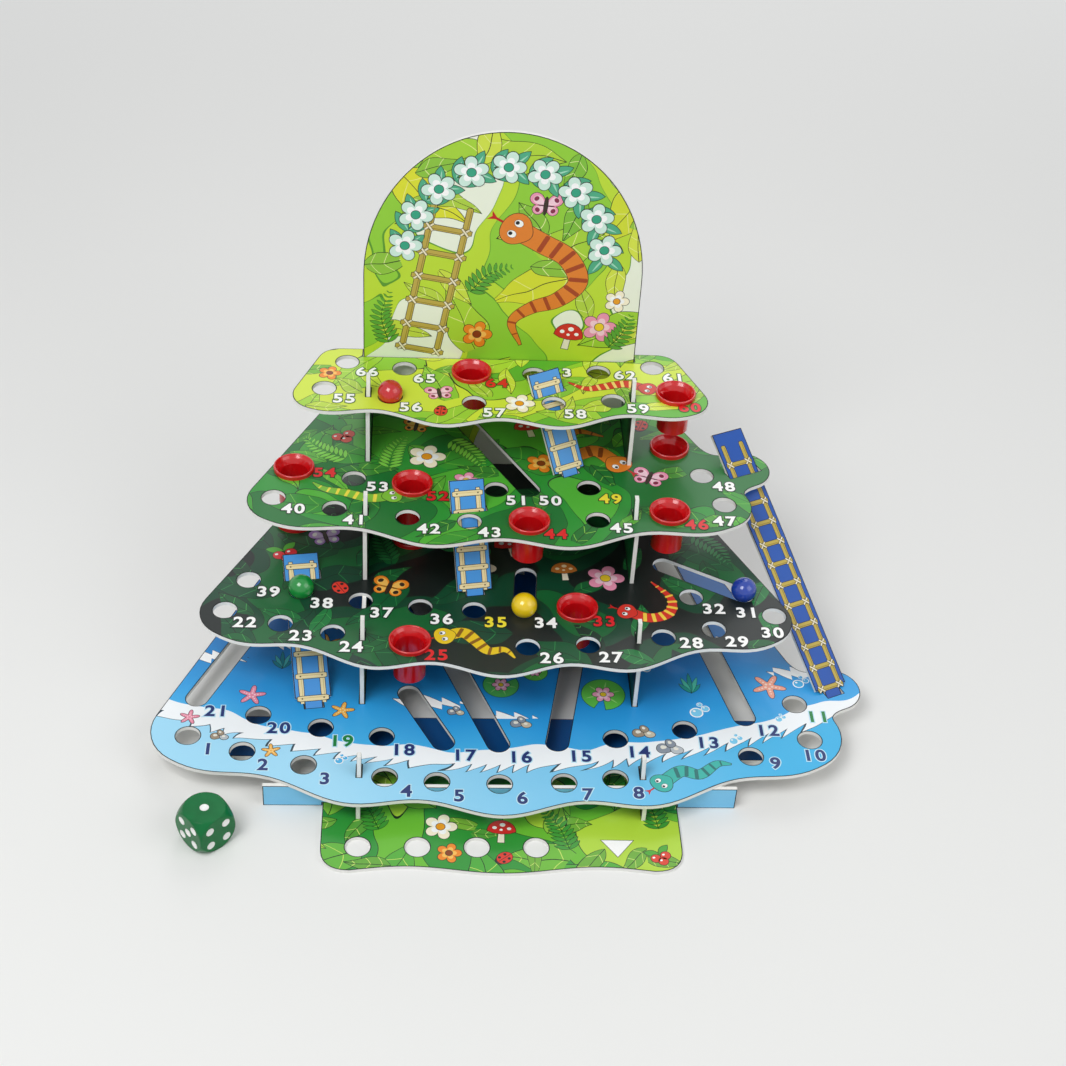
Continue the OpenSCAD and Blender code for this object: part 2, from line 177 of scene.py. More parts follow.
CORE_LAYERS = 3.2   # layers of the card's core in a millimetre of its thickness
CORE_STREAKS = 0.06     # and streaks in a millimetre along it
LEAF_LEAN = 0.45    # how much fuller a leaf is towards its stem
LEAF_INK = "#16211a"
VEINS = 3.5         # veins along each side of a leaf
VEIN_SLANT = 0.8
BEND_PITCH = 34.0   # waves that bend the foliage, and the range of their push
BEND = 16.0
PATCH = 46.0        # size of the flat patches behind the leaves
FOAM_Y = -81.0      # front of the foam band on the first tier
FOAM_DEEP = 15.0
FOAM_TOOTH = 5.2    # half the pitch of the foam's teeth
FOAM_INK = 0.4      # half width of the line along the foam's front
DEEP_FRONT = FOAM_Y + 15    # the water darkens from here
DEEP_BACK = 45.0            # to here
WAVES_FRONT = FOAM_Y + FOAM_DEEP + 22   # white crests lie behind this line
NOTCH = 9.0         # pitch of the notches in a crest
START_SHADE_Y = -64.0       # the start board's blue print behind this line, under the first tier, painted dark as shade


def card_core(name, facing, two_sided=False):
    """Die-cut greyboard: black printed rim on the face, white fibrous core on the cut, pale liner behind."""
    made, tree, shader = new_finish(name, {"Roughness": 0.62, "Specular IOR Level": 0.35})
    mm = board_mm(tree)
    fibre = paper_grain(tree, shader, mm, 0.35)
    squeeze = Vector((1, 1, 1)) * CORE_STREAKS + Vector([abs(v) for v in facing]) * CORE_LAYERS
    squeezed = add(tree, "Mapping", {"Vector": mm, "Scale": squeeze})
    layers = add(tree, "TexNoise", {"Vector": squeezed, "Scale": 1.0})
    core = add(tree, "Mix", [layers, srgb("#dcdbd6"), srgb("#fbfbf8")], data_type="RGBA")
    liner = add(tree, "Mix", [fibre, srgb("#d9d7cf"), srgb("#eceae4")], data_type="RGBA")
    normal = add(tree, "TexCoord").outputs["Normal"]
    side = add(tree, "VectorMath", [normal, facing], operation="DOT_PRODUCT")
    if two_sided:
        side = add(tree, "Math", [side], operation="ABSOLUTE")
    behind = add(tree, "Math", [side, -0.9], operation="LESS_THAN")
    printed = add(tree, "Math", [side, 0.9], operation="GREATER_THAN")
    plain = add(tree, "Mix", [behind, core, liner], data_type="RGBA")
    colour = add(tree, "Mix", [printed, plain, srgb(BLACK)], data_type="RGBA")
    wire(tree, shader, {"Base Color": colour})
    return made


def leaf_layer(tree, mm, ground, spacing, half_length, half_width, shades, line, share, shift, spread=1.0,
               ribbed=True, where=None):
    """One layer of leaves over the ground: a leaf in each cell, turned at random, with rib and veins."""
    moved = add(tree, "VectorMath", [mm, (shift, shift * 0.7, 0)], operation="ADD")
    cell = add(tree, "TexVoronoi", {"Vector": moved, "Scale": 1 / spacing, "Randomness": 0.75},
               voronoi_dimensions="2D").outputs
    local = add(tree, "VectorMath", [moved, cell["Position"]], operation="SUBTRACT")
    chance = add(tree, "SeparateColor", [cell["Color"]]).outputs
    turn = add(tree, "Math", [chance["Red"], math.tau * spread], operation="MULTIPLY")
    turned = add(tree, "VectorRotate", {"Vector": local, "Angle": turn}, rotation_type="Z_AXIS")
    axes = add(tree, "SeparateXYZ", [turned]).outputs
    along = add(tree, "Math", [axes["X"], half_length], operation="DIVIDE")
    across = add(tree, "Math", [axes["Y"]], operation="ABSOLUTE")
    square = add(tree, "Math", [along, along], operation="MULTIPLY")
    lens = add(tree, "Math", [1.0, square], operation="SUBTRACT")
    lean = add(tree, "Math", [along, -LEAF_LEAN, 1.0], operation="MULTIPLY_ADD")
    belly = add(tree, "Math", [lens, lean], operation="MULTIPLY")
    width = add(tree, "Math", [belly, half_width], operation="MULTIPLY")
    depth = add(tree, "Math", [width, across], operation="SUBTRACT")
    grows = add(tree, "Math", [chance["Blue"], share], operation="LESS_THAN")
    inside = add(tree, "Math", [depth, 0.0], operation="GREATER_THAN")
    shown = add(tree, "Math", [inside, grows], operation="MULTIPLY")
    if where is not None:
        shown = add(tree, "Math", [shown, where], operation="MULTIPLY")
    drawn = add(tree, "Math", [depth, line], operation="LESS_THAN")
    fill = add(tree, "Mix", [chance["Green"], srgb(shades[0]), srgb(shades[1])], data_type="RGBA")
    if ribbed:
        rib = add(tree, "Math", [across, line * 0.55], operation="LESS_THAN")
        drawn = add(tree, "Math", [drawn, rib], operation="MAXIMUM")
        slant = add(tree, "Math", [across, -VEIN_SLANT, axes["X"]], operation="MULTIPLY_ADD")
        vein = add(tree, "Math", [slant, half_length / VEINS], operation="PINGPONG")
        veined = add(tree, "Math", [vein, line * 0.6], operation="LESS_THAN")
        fill = add(tree, "Mix", [veined, fill, srgb(shades[2])], data_type="RGBA")
    leaf = add(tree, "Mix", [drawn, fill, srgb(LEAF_INK)], data_type="RGBA")
    return add(tree, "Mix", [shown, ground, leaf], data_type="RGBA")


def foliage_print(name, grounds, layers, rightward=RIGHT, upward=BACK, painted_shade_behind=None, outline="#1c2a1e"):
    """Varnished offset print of plain foliage: flat patches with inked outlines, and leaves over them."""
    made, tree, shader, mm, _ = varnished(name, rightward, upward)
    waves = add(tree, "TexNoise", {"Vector": mm, "Scale": 1 / BEND_PITCH, "Detail": 1.0}).outputs["Color"]
    centred = add(tree, "VectorMath", [waves, (0.5, 0.5, 0.5)], operation="SUBTRACT")
    push = add(tree, "VectorMath", [centred, BEND], operation="SCALE")
    bent = add(tree, "VectorMath", [mm, push], operation="ADD")
    patch = add(tree, "TexNoise", {"Vector": bent, "Scale": 1 / PATCH, "Detail": 0.0})
    colour = add(tree, "ValToRGB", [patch])
    colour.color_ramp.interpolation = "CONSTANT"
    set_stops(colour, [(0.0, grounds[0]), (0.455, outline), (0.459, grounds[1]), (0.545, outline),
                       (0.549, grounds[2])])
    for layer in layers:
        colour = leaf_layer(tree, bent, colour, *layer)
    # Painted shade: behind the given line the print turns flat dark blue, for blue print in the shade of the
    # tier above
    if painted_shade_behind is not None:
        level = add(tree, "SeparateXYZ", [mm]).outputs["Y"]
        under = add(tree, "Math", [level, painted_shade_behind], operation="GREATER_THAN")
        colour = add(tree, "Mix", [under, colour, srgb("#0f4f8c")], data_type="RGBA")
    wire(tree, shader, {"Base Color": colour})
    return made


def water_print(name):
    """Varnished offset print of water: pale shallows, a toothed band of foam, and deep water behind it."""
    made, tree, shader, mm, _ = varnished(name)
    axes = add(tree, "SeparateXYZ", [mm]).outputs
    off = add(tree, "Math", [axes["X"], ROWS_X], operation="SUBTRACT")
    bow = add(tree, "Math", [off, off], operation="MULTIPLY")
    level = add(tree, "Math", [bow, -0.5 / ROW_R, axes["Y"]], operation="MULTIPLY_ADD")
    # Two depths of water, with the deep one darker towards the back
    swell = add(tree, "TexNoise", {"Vector": mm, "Scale": 1 / 55, "Detail": 1.0})
    sway = add(tree, "Math", [swell, 46.0, level], operation="MULTIPLY_ADD")
    depth = add(tree, "MapRange", {"Value": sway, "From Min": DEEP_FRONT, "From Max": DEEP_BACK})
    deep = add(tree, "ValToRGB", [depth])
    set_stops(deep, [(0.0, "#4fbdf0"), (0.35, "#2fa0e2"), (0.65, "#1985cc"), (1.0, "#0f62ac")])
    side = add(tree, "MapRange", {"Value": axes["X"], "From Min": -90.0, "From Max": 130.0})
    shallow = add(tree, "Mix", [side, srgb("#a2dcf7"), srgb("#37b3e6")], data_type="RGBA")
    back = add(tree, "Math", [level, FOAM_Y + FOAM_DEEP * 0.6], operation="GREATER_THAN")
    water = add(tree, "Mix", [back, shallow, deep], data_type="RGBA")
    # White crests on the deep water, notched along their length
    far = add(tree, "Math", [level, WAVES_FRONT], operation="GREATER_THAN")
    notch = add(tree, "Math", [axes["X"], NOTCH], operation="FLOORED_MODULO")
    lifted = add(tree, "Math", [notch, 0.4, axes["Y"]], operation="MULTIPLY_ADD")
    notched = add(tree, "CombineXYZ", {"X": axes["X"], "Y": lifted})
    water = leaf_layer(tree, notched, water, spacing=38, half_length=20, half_width=3.4,
                       shades=(WHITE, WHITE), line=0.3, share=0.7, shift=17, spread=0.03, ribbed=False,
                       where=far)
    # The foam: slanted teeth in front, a wandering crest behind, and an inked front edge
    drift = add(tree, "TexNoise", {"Vector": mm, "Scale": 1 / 22, "Detail": 0.0})
    wander = add(tree, "Math", [drift, 24.0, axes["X"]], operation="MULTIPLY_ADD")
    slant = add(tree, "Math", [level, -1.5, wander], operation="MULTIPLY_ADD")
    tooth = add(tree, "Math", [slant, FOAM_TOOTH], operation="PINGPONG")
    low_edge = add(tree, "Math", [tooth, FOAM_Y], operation="ADD")
    over_edge = add(tree, "Math", [level, low_edge], operation="SUBTRACT")
    crest = add(tree, "Math", [drift, 12.0, FOAM_Y + FOAM_DEEP - 6], operation="MULTIPLY_ADD")
    below_crest = add(tree, "Math", [crest, level], operation="SUBTRACT")
    foam_depth = add(tree, "Math", [over_edge, below_crest], operation="MINIMUM")
    foam = add(tree, "Math", [foam_depth, 0.0], operation="GREATER_THAN")
    foamed = add(tree, "Mix", [foam, water, srgb("#f6fafc")], data_type="RGBA")
    edge = add(tree, "Math", [over_edge, 0.0, FOAM_INK], operation="COMPARE")
    in_front = add(tree, "Math", [below_crest, 0.0], operation="GREATER_THAN")
    inked = add(tree, "Math", [edge, in_front], operation="MULTIPLY")
    colour = add(tree, "Mix", [inked, foamed, srgb("#24404f")], data_type="RGBA")
    wire(tree, shader, {"Base Color": colour})
    return made


def plain_print(name, code, other):
    """Varnished solid ink: one colour, slightly cloudy from the press."""
    made, tree, shader, mm, _ = varnished(name)
    cloud = add(tree, "TexNoise", {"Vector": mm, "Scale": 1 / 14, "Detail": 3.0})
    tone = add(tree, "Mix", [cloud, srgb(code), srgb(other)], data_type="RGBA")
    wire(tree, shader, {"Base Color": tone})
    return made


def figure_ink():
    """Opaque printing ink under varnish: the colour of each figure comes from the mesh."""
    made, tree, shader, _, fibre = varnished("figure_ink")
    colour = add(tree, "VertexColor", layer_name="ink")
    worn = add(tree, "Math", [fibre, 0.10, 0.94], operation="MULTIPLY_ADD")
    tone = add(tree, "VectorMath", [colour, worn], operation="SCALE")
    wire(tree, shader, {"Base Color": tone})
    return made


def moulded_plastic(name, code, deep, roughness, coat, specular=0.5, soft_edge=0.0):
    """Injection-moulded glossy plastic: clear even colour, faint flow marks and fine handling scratches."""
    made, tree, shader = new_finish(name, {"Coat Weight": coat, "Coat Roughness": 0.05, "IOR": 1.5,
                                           "Specular IOR Level": specular})
    mm = board_mm(tree)
    flow = add(tree, "TexNoise", {"Vector": mm, "Scale": 1 / 9, "Detail": 2.0})
    tone = add(tree, "Mix", [flow, srgb(deep), srgb(code)], data_type="RGBA")
    long_way = add(tree, "Mapping", {"Vector": mm, "Scale": (0.2, 1.6, 1.6), "Rotation": (0.3, 0.5, 0.8)})
    scratch = add(tree, "TexNoise", {"Vector": long_way, "Scale": 1.0, "Detail": 4.0})
    rough = add(tree, "MapRange", {"Value": scratch, "From Min": 0.35, "From Max": 0.75,
                                   "To Min": roughness, "To Max": roughness + 0.12})
    bump = add(tree, "Bump", {"Height": flow, "Strength": 0.08, "Distance": 0.2 * MM})
    if soft_edge:
        wire(tree, bump, {"Normal": add(tree, "Bevel", {"Radius": soft_edge * MM})})
    wire(tree, shader, {"Base Color": tone, "Roughness": rough, "Normal": bump})
    return made


def pip_enamel():
    """White enamel in the die's dimples: glossy, slightly pooled towards the middle."""
    made, tree, shader = new_finish("white_pip_enamel", {"Roughness": 0.25, "Coat Weight": 0.4,
                                                         "Coat Roughness": 0.08})
    pool = add(tree, "TexNoise", {"Vector": board_mm(tree), "Scale": 1 / 2.5, "Detail": 2.0})
    tone = add(tree, "Mix", [pool, srgb("#e6e8e4"), srgb("#fbfcfa")], data_type="RGBA")
    wire(tree, shader, {"Base Color": tone})
    return made


# Outlines, as lists of points that run anticlockwise

def set_at(ring, at=(0, 0), turn=0.0, size=1.0):
    """An outline sized, turned and moved to its place."""
    spin = Matrix.Rotation(turn, 2)
    return [spin @ Vector(p) * size + Vector(at) for p in ring]


def arc(first, last, steps, radius=1.0):
    """Points on a circle from one angle to another."""
    angles = [first + (last - first) * i / steps for i in range(steps + 1)]
    return [Vector((math.cos(a), math.sin(a))) * radius for a in angles]


def round_ring(rule, points):
    """A closed outline whose distance from its middle follows a rule of the angle."""
    angles = [math.tau * i / points for i in range(points)]
    return [Vector((math.cos(a), math.sin(a))) * rule(a) for a in angles]


def oval(half_long, half_wide, points=20):
    return [Vector((p.x * half_long, p.y * half_wide)) for p in round_ring(lambda a: 1, points)]


def petal(length, width, points=18):
    """A drop that starts with its tip at the origin and ends round."""
    angles = [math.tau * i / points for i in range(points)]
    return [Vector((length * (1 - math.cos(a)) / 2, -width / 2 * math.sin(a) * math.sin(a / 2) ** 0.8))
            for a in angles]


def blade(length, width, points=9):
    """A leaf that is pointed at both ends."""
    steps = [i / points for i in range(points)]
    half = [Vector((length * t, -width / 2 * math.sin(math.pi * t) ** 0.8)) for t in steps]
    return half + [Vector((length - p.x, -p.y)) for p in half]


def bar(length, width):
    """A bar along y with slightly rounded corners."""
    corners = [(0.5, -0.42), (0.5, 0.42), (0.36, 0.5), (-0.36, 0.5), (-0.5, 0.42), (-0.5, -0.42),
               (-0.36, -0.5), (0.36, -0.5)]
    return [Vector((x * width, y * length)) for x, y in corners]


def smooth(points, steps=8):
    """A curve through a few chosen points."""
    knots = [Vector(p) for p in points]
    ends = [knots[0] * 2 - knots[1], *knots, knots[-1] * 2 - knots[-2]]
    curve = []
    for a, b, c, d in zip(ends, ends[1:], ends[2:], ends[3:]):
        for t in (i / steps for i in range(steps)):
            curve.append(0.5 * (2 * b + (c - a) * t + (2 * a - 5 * b + 4 * c - d) * t ** 2
                                + (3 * b - a - 3 * c + d) * t ** 3))
    return [*curve, knots[-1]]


def thinned(ring, step):
    """An outline without the points that lie closer together than a step."""
    kept = [ring[0]]
    for point in ring[1:]:
        if (point - kept[-1]).length > step and (point - kept[0]).length > step:
            kept.append(point)
    return kept


def inset(ring, distance):
    """A closed outline moved to its left by a distance, with limited points at sharp corners."""
    moved = []
    for i, point in enumerate(ring):
        before = (point - ring[i - 1]).normalized()
        after = (ring[(i + 1) % len(ring)] - point).normalized()
        normal_before = Vector((-before.y, before.x))
        normal_after = Vector((-after.y, after.x))
        spread = max(0.35, 1 + normal_before.dot(normal_after))
        moved.append(point + (normal_before + normal_after) * distance / spread)
    return moved


def gap_to(point, piece):
    """Distance from a point to a fat line piece."""
    start, end, radius = piece
    way = end - start
    share = 0 if way.length == 0 else max(0, min(1, (point - start).dot(way) / way.length_squared))
    return (point - start - way * share).length - radius


def outset(ring, distance):
    """A closed outline grown to its right, without the points that would fold back over themselves."""
    edges = [(a, b, 0) for a, b in zip(ring, ring[1:] + ring[:1])]
    return [p for p in inset(ring, -distance) if min(gap_to(p, edge) for edge in edges) > distance * 0.9]


def ring_area(ring):
    return sum(a.cross(b) for a, b in zip(ring, ring[1:] + ring[:1])) / 2


def ring_middle(ring):
    """The middle and the half size of the box round an outline."""
    low = Vector((min(p.x for p in ring), min(p.y for p in ring)))
    high = Vector((max(p.x for p in ring), max(p.y for p in ring)))
    return low + (high - low) / 2, (high - low) / 2


# Faces of the card, and pieces on them

def edge_rings(data, keep, to_face):
    """The closed outlines of a mesh's kept faces, flattened, with the faces on the left of each."""
    mesh = bmesh.new()
    mesh.from_mesh(data)
    bmesh.ops.remove_doubles(mesh, verts=mesh.verts, dist=WELD)
    flat = {f for f in mesh.faces if keep(f)}
    follows = {}
    for face in flat:
        for loop in face.loops:
            if sum(f in flat for f in loop.edge.link_faces) == 1:
                follows[loop.vert] = loop.link_loop_next.vert
    rings = []
    while follows:
        vert, after = follows.popitem()
        ring = [vert, after]
        while ring[-1] in follows:
            ring.append(follows.pop(ring[-1]))
        rings.append([(to_face @ v.co).to_2d() for v in ring[:-1]])
    mesh.free()
    return rings


def body_of(node_name):
    return next(b for b, members in frame["record"]["behaviour"]["bodies"].items() if node_name in members)


def printed_face(node_name, facing, rightward, slot):
    """A flat face: its matrix from millimetres (right, up, outwards) to the frame, its body and slot."""
    upward = facing.cross(rightward)
    reach = max(v.co.dot(facing) for v in frame["nodes"][node_name].data.vertices)
    axes = Matrix((rightward, upward, facing)).transposed().to_4x4()
    place = Matrix.Translation(facing * reach) @ axes @ Matrix.Diagonal((MM, MM, MM, 1))
    return place, body_of(node_name), slot


def face_rings(node_name, place):
    """The outlines of a card's flat face in its millimetres, with the card on the left of each."""
    facing = (place.to_3x3() @ UP).normalized()
    reach = place.translation.dot(facing)
    return edge_rings(frame["nodes"][node_name].data, lambda f: f.normal.dot(facing) > 0.999
                      and abs(f.calc_center_median().dot(facing) - reach) < 1e-5, place.inverted())


def dress(node_name, material):
    """Gives a part of the frame its finish."""
    frame["nodes"][node_name].data.materials.clear()
    frame["nodes"][node_name].data.materials.append(material)


def new_piece(name, mesh, material, face):
    """A piece of the object, at the origin, that moves with a body."""
    place, body, slot = face
    mesh.transform(place)
    piece = bpy.data.objects.new(name, mesh)
    bpy.context.scene.collection.objects.link(piece)
    mesh.materials.clear()
    mesh.materials.append(material)
    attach(piece, body)


def plain_mesh(curve):
    """A curve or text turned into a closed mesh."""
    holder = bpy.data.objects.new("holder", curve)
    bpy.context.scene.collection.objects.link(holder)
    graph = bpy.context.evaluated_depsgraph_get()
    mesh = bpy.data.meshes.new_from_object(holder.evaluated_get(graph))
    bpy.data.objects.remove(holder)
    bpy.data.curves.remove(curve)
    welded = bmesh.new()
    welded.from_mesh(mesh)
    bmesh.ops.remove_doubles(welded, verts=welded.verts, dist=1e-5)
    bmesh.ops.recalc_face_normals(welded, faces=welded.faces)
    welded.to_mesh(mesh)
    welded.free()
    return mesh


def filled(rings, low, high):
    """A flat plate between two heights with those outlines and holes."""
    curve = bpy.data.curves.new("plate", "CURVE")
    curve.dimensions = "2D"
    curve.fill_mode = "BOTH"
    curve.extrude = (high - low) / 2
    for ring in rings:
        spline = curve.splines.new("POLY")
        spline.points.add(len(ring) - 1)
        spline.use_cyclic_u = True
        for knot, point in zip(spline.points, ring):
            knot.co = (*point, 0, 1)
    mesh = plain_mesh(curve)
    mesh.transform(Matrix.Translation((0, 0, (low + high) / 2)))
    return mesh


def print_sheet(name, node_name, face, material):
    """The printed layer of a card face, drawn in from every cut edge."""
    mesh = filled([inset(ring, RIM) for ring in face_rings(node_name, face[0])], 0, SHEET)
    new_piece(name, mesh, material, face)


def digit_rings(digit):
    """The outlines of a plain digit, about its middle."""
    curve = bpy.data.curves.new("digit", "FONT")
    curve.body = digit
    curve.size = LABEL_HIGH
    curve.align_x = "CENTER"
    curve.align_y = "CENTER"
    mesh = plain_mesh(curve)
    up_side = mesh.polygons[0].normal.z
    rings = edge_rings(mesh, lambda f: True, Matrix())
    bpy.data.meshes.remove(mesh)
    return [thinned(ring if up_side > 0 else ring[::-1], DIGIT_STEP) for ring in rings]


def digit_plates(digit):
    """A digit about its middle, fattened all round: the plate of its edge and the plate of its face."""
    rings = digit_rings(digit)
    return [filled([outset(ring, fatten) for ring in rings], SHEET / 2, SHEET + INK * layer)
            for layer, fatten in ((LABEL_LAYER, LABEL_BOLD + LABEL_HALO), (LABEL_LAYER + 1, LABEL_BOLD))]


AS_DRAWN = ((0, 0), 0.0, 1.0)


class InkLayers:
    """Printed figures gathered as thin closed plates, one printed colour over another."""

    def __init__(self):
        self.mesh = bmesh.new()
        self.shade = self.mesh.loops.layers.float_color.new("ink")
        self.spot = AS_DRAWN    # where outlines are set: place, turn and size

    def tint(self, faces, code):
        for face in faces:
            for loop in face.loops:
                loop[self.shade] = srgb(code)

    def raise_plate(self, ring, layer, code):
        """A closed plate from inside the paper up to its layer."""
        bottom = [self.mesh.verts.new((*p, SHEET / 2)) for p in ring]
        top = [self.mesh.verts.new((*p, SHEET + INK * layer)) for p in ring]
        faces = [self.mesh.faces.new(top), self.mesh.faces.new(bottom[::-1])]
        for i in range(len(ring)):
            faces.append(self.mesh.faces.new((bottom[i - 1], bottom[i], top[i], top[i - 1])))
        self.tint(faces, code)

    def plate(self, ring, layer, code):
        """One flat colour at the spot."""
        self.raise_plate(set_at(ring, *self.spot), layer, code)

    def outlined(self, ring, layer, code, line=LINE):
        """One flat colour at the spot, over a black plate that shows as its outline."""
        placed = set_at(ring, *self.spot)
        self.raise_plate(inset(placed, -line), layer, BLACK)
        self.raise_plate(placed, layer + 1, code)

    def stamped(self, plate, at, code):
        """A ready plate in one colour, set down at a place."""
        verts_before = len(self.mesh.verts)
        faces_before = len(self.mesh.faces)
        self.mesh.from_mesh(plate)
        self.mesh.verts.ensure_lookup_table()
        self.mesh.faces.ensure_lookup_table()
        bmesh.ops.translate(self.mesh, verts=self.mesh.verts[verts_before:], vec=(*at, 0))
        self.tint(self.mesh.faces[faces_before:], code)

    def finished(self):
        mesh = bpy.data.meshes.new("figures")
        self.mesh.to_mesh(mesh)
        self.mesh.free()
        return mesh


# Figures that repeat along a path

TAPER = 2.5     # power by which snakes, bands and ferns thin: higher is later
SNAKE_TAIL = 0.12   # size at the tail, as a share of the size at the head


def path_tree():
    """Geometry Nodes: a figure repeated along each path, turned to follow it, smaller towards the end."""
    tree = bpy.data.node_groups.new("figures_along_path", "GeometryNodeTree")
    tree.interface.new_socket("Geometry", in_out="INPUT", socket_type="NodeSocketGeometry")
    for name, kind in (("Figure", "Object"), ("Spacing", "Float"), ("End Size", "Float"), ("Rise", "Float"),
                       ("Ink", "Material")):
        tree.interface.new_socket(name, in_out="INPUT", socket_type="NodeSocket" + kind)
    tree.interface.new_socket("Geometry", in_out="OUTPUT", socket_type="NodeSocketGeometry")
    given = add(tree, "NodeGroupInput").outputs
    path = add(tree, "GeometryNodeMeshToCurve", {"Mesh": given["Geometry"]})
    steps = add(tree, "GeometryNodeResampleCurve", {"Curve": path, "Length": given["Spacing"]}, mode="LENGTH")
    figure = add(tree, "GeometryNodeObjectInfo", {"Object": given["Figure"]}).outputs["Geometry"]
    aim = add(tree, "FunctionNodeAlignRotationToVector", {"Vector": add(tree, "GeometryNodeInputTangent")},
              axis="X", pivot_axis="Z")
    along = add(tree, "GeometryNodeSplineParameter").outputs["Factor"]
    thinning = add(tree, "Math", [along, TAPER], operation="POWER")
    size = add(tree, "MapRange", {"Value": thinning, "To Min": 1.0, "To Max": given["End Size"]})
    flat_size = add(tree, "CombineXYZ", {"X": size, "Y": size, "Z": 1.0})
    placed = add(tree, "GeometryNodeInstanceOnPoints", {"Points": steps, "Instance": figure, "Rotation": aim,
                                                        "Scale": flat_size})
    lift = add(tree, "Math", [add(tree, "GeometryNodeInputIndex"), given["Rise"]], operation="MULTIPLY")
    upward = add(tree, "CombineXYZ", {"Z": lift})
    raised = add(tree, "GeometryNodeTranslateInstances", {"Instances": placed, "Translation": upward})
    real = add(tree, "GeometryNodeRealizeInstances", {"Geometry": raised})
    inked = add(tree, "GeometryNodeSetMaterial", {"Geometry": real, "Material": given["Ink"]})
    add(tree, "NodeGroupOutput", {"Geometry": inked})
    return tree


def along_paths(name, paths, figure, face, spacing, end_size=1.0, rise=0.0):
    """A piece with one figure repeated along paths on a printed face."""
    template = bpy.data.objects.new("figure", figure.finished())
    routes = bpy.data.meshes.new("routes")
    points = [(*p, 0) for path in paths for p in path]
    starts = [sum(len(path) for path in paths[:k]) for k in range(len(paths))]
    edges = [(start + i, start + i + 1) for start, path in zip(starts, paths) for i in range(len(path) - 1)]
    routes.from_pydata(points, edges, [])
    holder = bpy.data.objects.new("routes", routes)
    for made in (template, holder):
        bpy.context.scene.collection.objects.link(made)
    modifier = holder.modifiers.new("figures", "NODES")
    modifier.node_group = PATH_TREE
    values = {"Figure": template, "Spacing": spacing, "End Size": end_size, "Rise": rise, "Ink": INKS}
    for socket in PATH_TREE.interface.items_tree:
        if socket.in_out == "INPUT" and socket.name in values:
            modifier[socket.identifier] = values[socket.name]
    graph = bpy.context.evaluated_depsgraph_get()
    mesh = bpy.data.meshes.new_from_object(holder.evaluated_get(graph))
    holder.modifiers.remove(modifier)
    for made in (template, holder):
        bpy.data.objects.remove(made)
    new_piece(name, mesh, INKS, face)


# Printed figures, drawn about one unit in size

def blossom(ink, at, size, petals, heart, count=5, layer=1):
    """A plain flower: one outline of petals, a paler middle and a round heart."""
    ink.spot = (at, 0.0, size)
    ring = round_ring(lambda a: 0.5 + 0.5 * abs(math.cos(count * a / 2)) ** 0.7, 12 * count)
    ink.outlined(ring, layer, petals[0])
    ink.plate(set_at(ring, size=0.62), layer + 2, petals[1])
    ink.outlined(oval(0.26, 0.26), layer + 3, heart)


def butterfly(ink, at, size, wings, spots):
    """A plain butterfly with four wings."""
    turn = random.uniform(-0.6, 0.6) + math.pi / 2
    for side in (-1, 1):
        for spread, length, width in ((2.15, 0.8, 0.75), (0.95, 1.05, 0.9)):
            ink.spot = (at, turn + side * spread, size)
            ink.outlined(petal(length, width), 1, wings[0])
            ink.plate(set_at(petal(length, width), (0.12, 0), size=0.7), 3, wings[1])
            ink.plate(set_at(oval(0.13, 0.16), (length * 0.66, 0)), 4, spots)
    ink.spot = (at, turn, size)
    ink.outlined(oval(0.55, 0.1), 5, "#3a2a20")


def toadstool(ink, at, size, cap, spots):
    """A toadstool with a spotted cap."""
    ink.spot = (at, random.uniform(-0.25, 0.25), size)
    ink.outlined([(0.2, -0.9), (0.16, 0.1), (-0.16, 0.1), (-0.2, -0.9)], 1, "#f3ead2")
    ink.outlined(arc(0, math.pi, 12, 0.85) + [(-0.5, -0.16), (0, -0.22), (0.5, -0.16)], 3, cap)
    for x, y, r in ((-0.42, 0.25, 0.14), (0.05, 0.5, 0.17), (0.45, 0.22, 0.13), (-0.02, 0.1, 0.1)):
        ink.plate(set_at(oval(r, r * 0.85, 14), (x, y)), 5, spots)


def berries(ink, at, size, fruit, shine):
    """Three round berries under two leaves."""
    ink.spot = (at, random.uniform(-0.5, 0.5), size)
    for angle in (0.5, math.pi - 0.5):
        ink.outlined(set_at(blade(1.0, 0.5), (0, 0.2), angle), 1, "#4faa35")
    for x, y in ((-0.36, -0.1), (0.36, -0.1), (0.0, -0.5)):
        ink.outlined(set_at(oval(0.34, 0.34), (x, y)), 3, fruit)
        ink.plate(set_at(oval(0.1, 0.08, 12), (x - 0.1, y + 0.12)), 5, shine)


def ladybird(ink, at, size, wings, spots):
    """A round beetle with spots."""
    ink.spot = (at, random.uniform(0, math.tau), size)
    ink.outlined(set_at(oval(0.36, 0.42), (0.62, 0)), 1, "#23262a")
    ink.outlined(oval(0.8, 0.66), 3, wings)
    ink.plate(bar(0.05, 1.5), 5, spots)
    for x, y in ((0.35, 0.34), (0.35, -0.34), (-0.3, 0.32), (-0.3, -0.32)):
        ink.plate(set_at(oval(0.15, 0.15, 12), (x, y)), 6, spots)


def starfish(ink, at, size, skin, dots):
    """A five-armed starfish with a row of dots on each arm."""
    turn = random.uniform(0, 1.2)
    ink.spot = (at, turn, size)
    ink.outlined(round_ring(lambda a: 0.34 + 0.66 * ((1 + math.cos(5 * a)) / 2) ** 1.5, 60), 1, skin)
    for arm in range(5):
        ink.spot = (at, turn + arm * math.tau / 5, size)
        for reach, r in ((0.2, 0.08), (0.42, 0.065), (0.62, 0.05)):
            ink.plate(set_at(oval(r, r, 10), (reach, 0)), 3, dots)


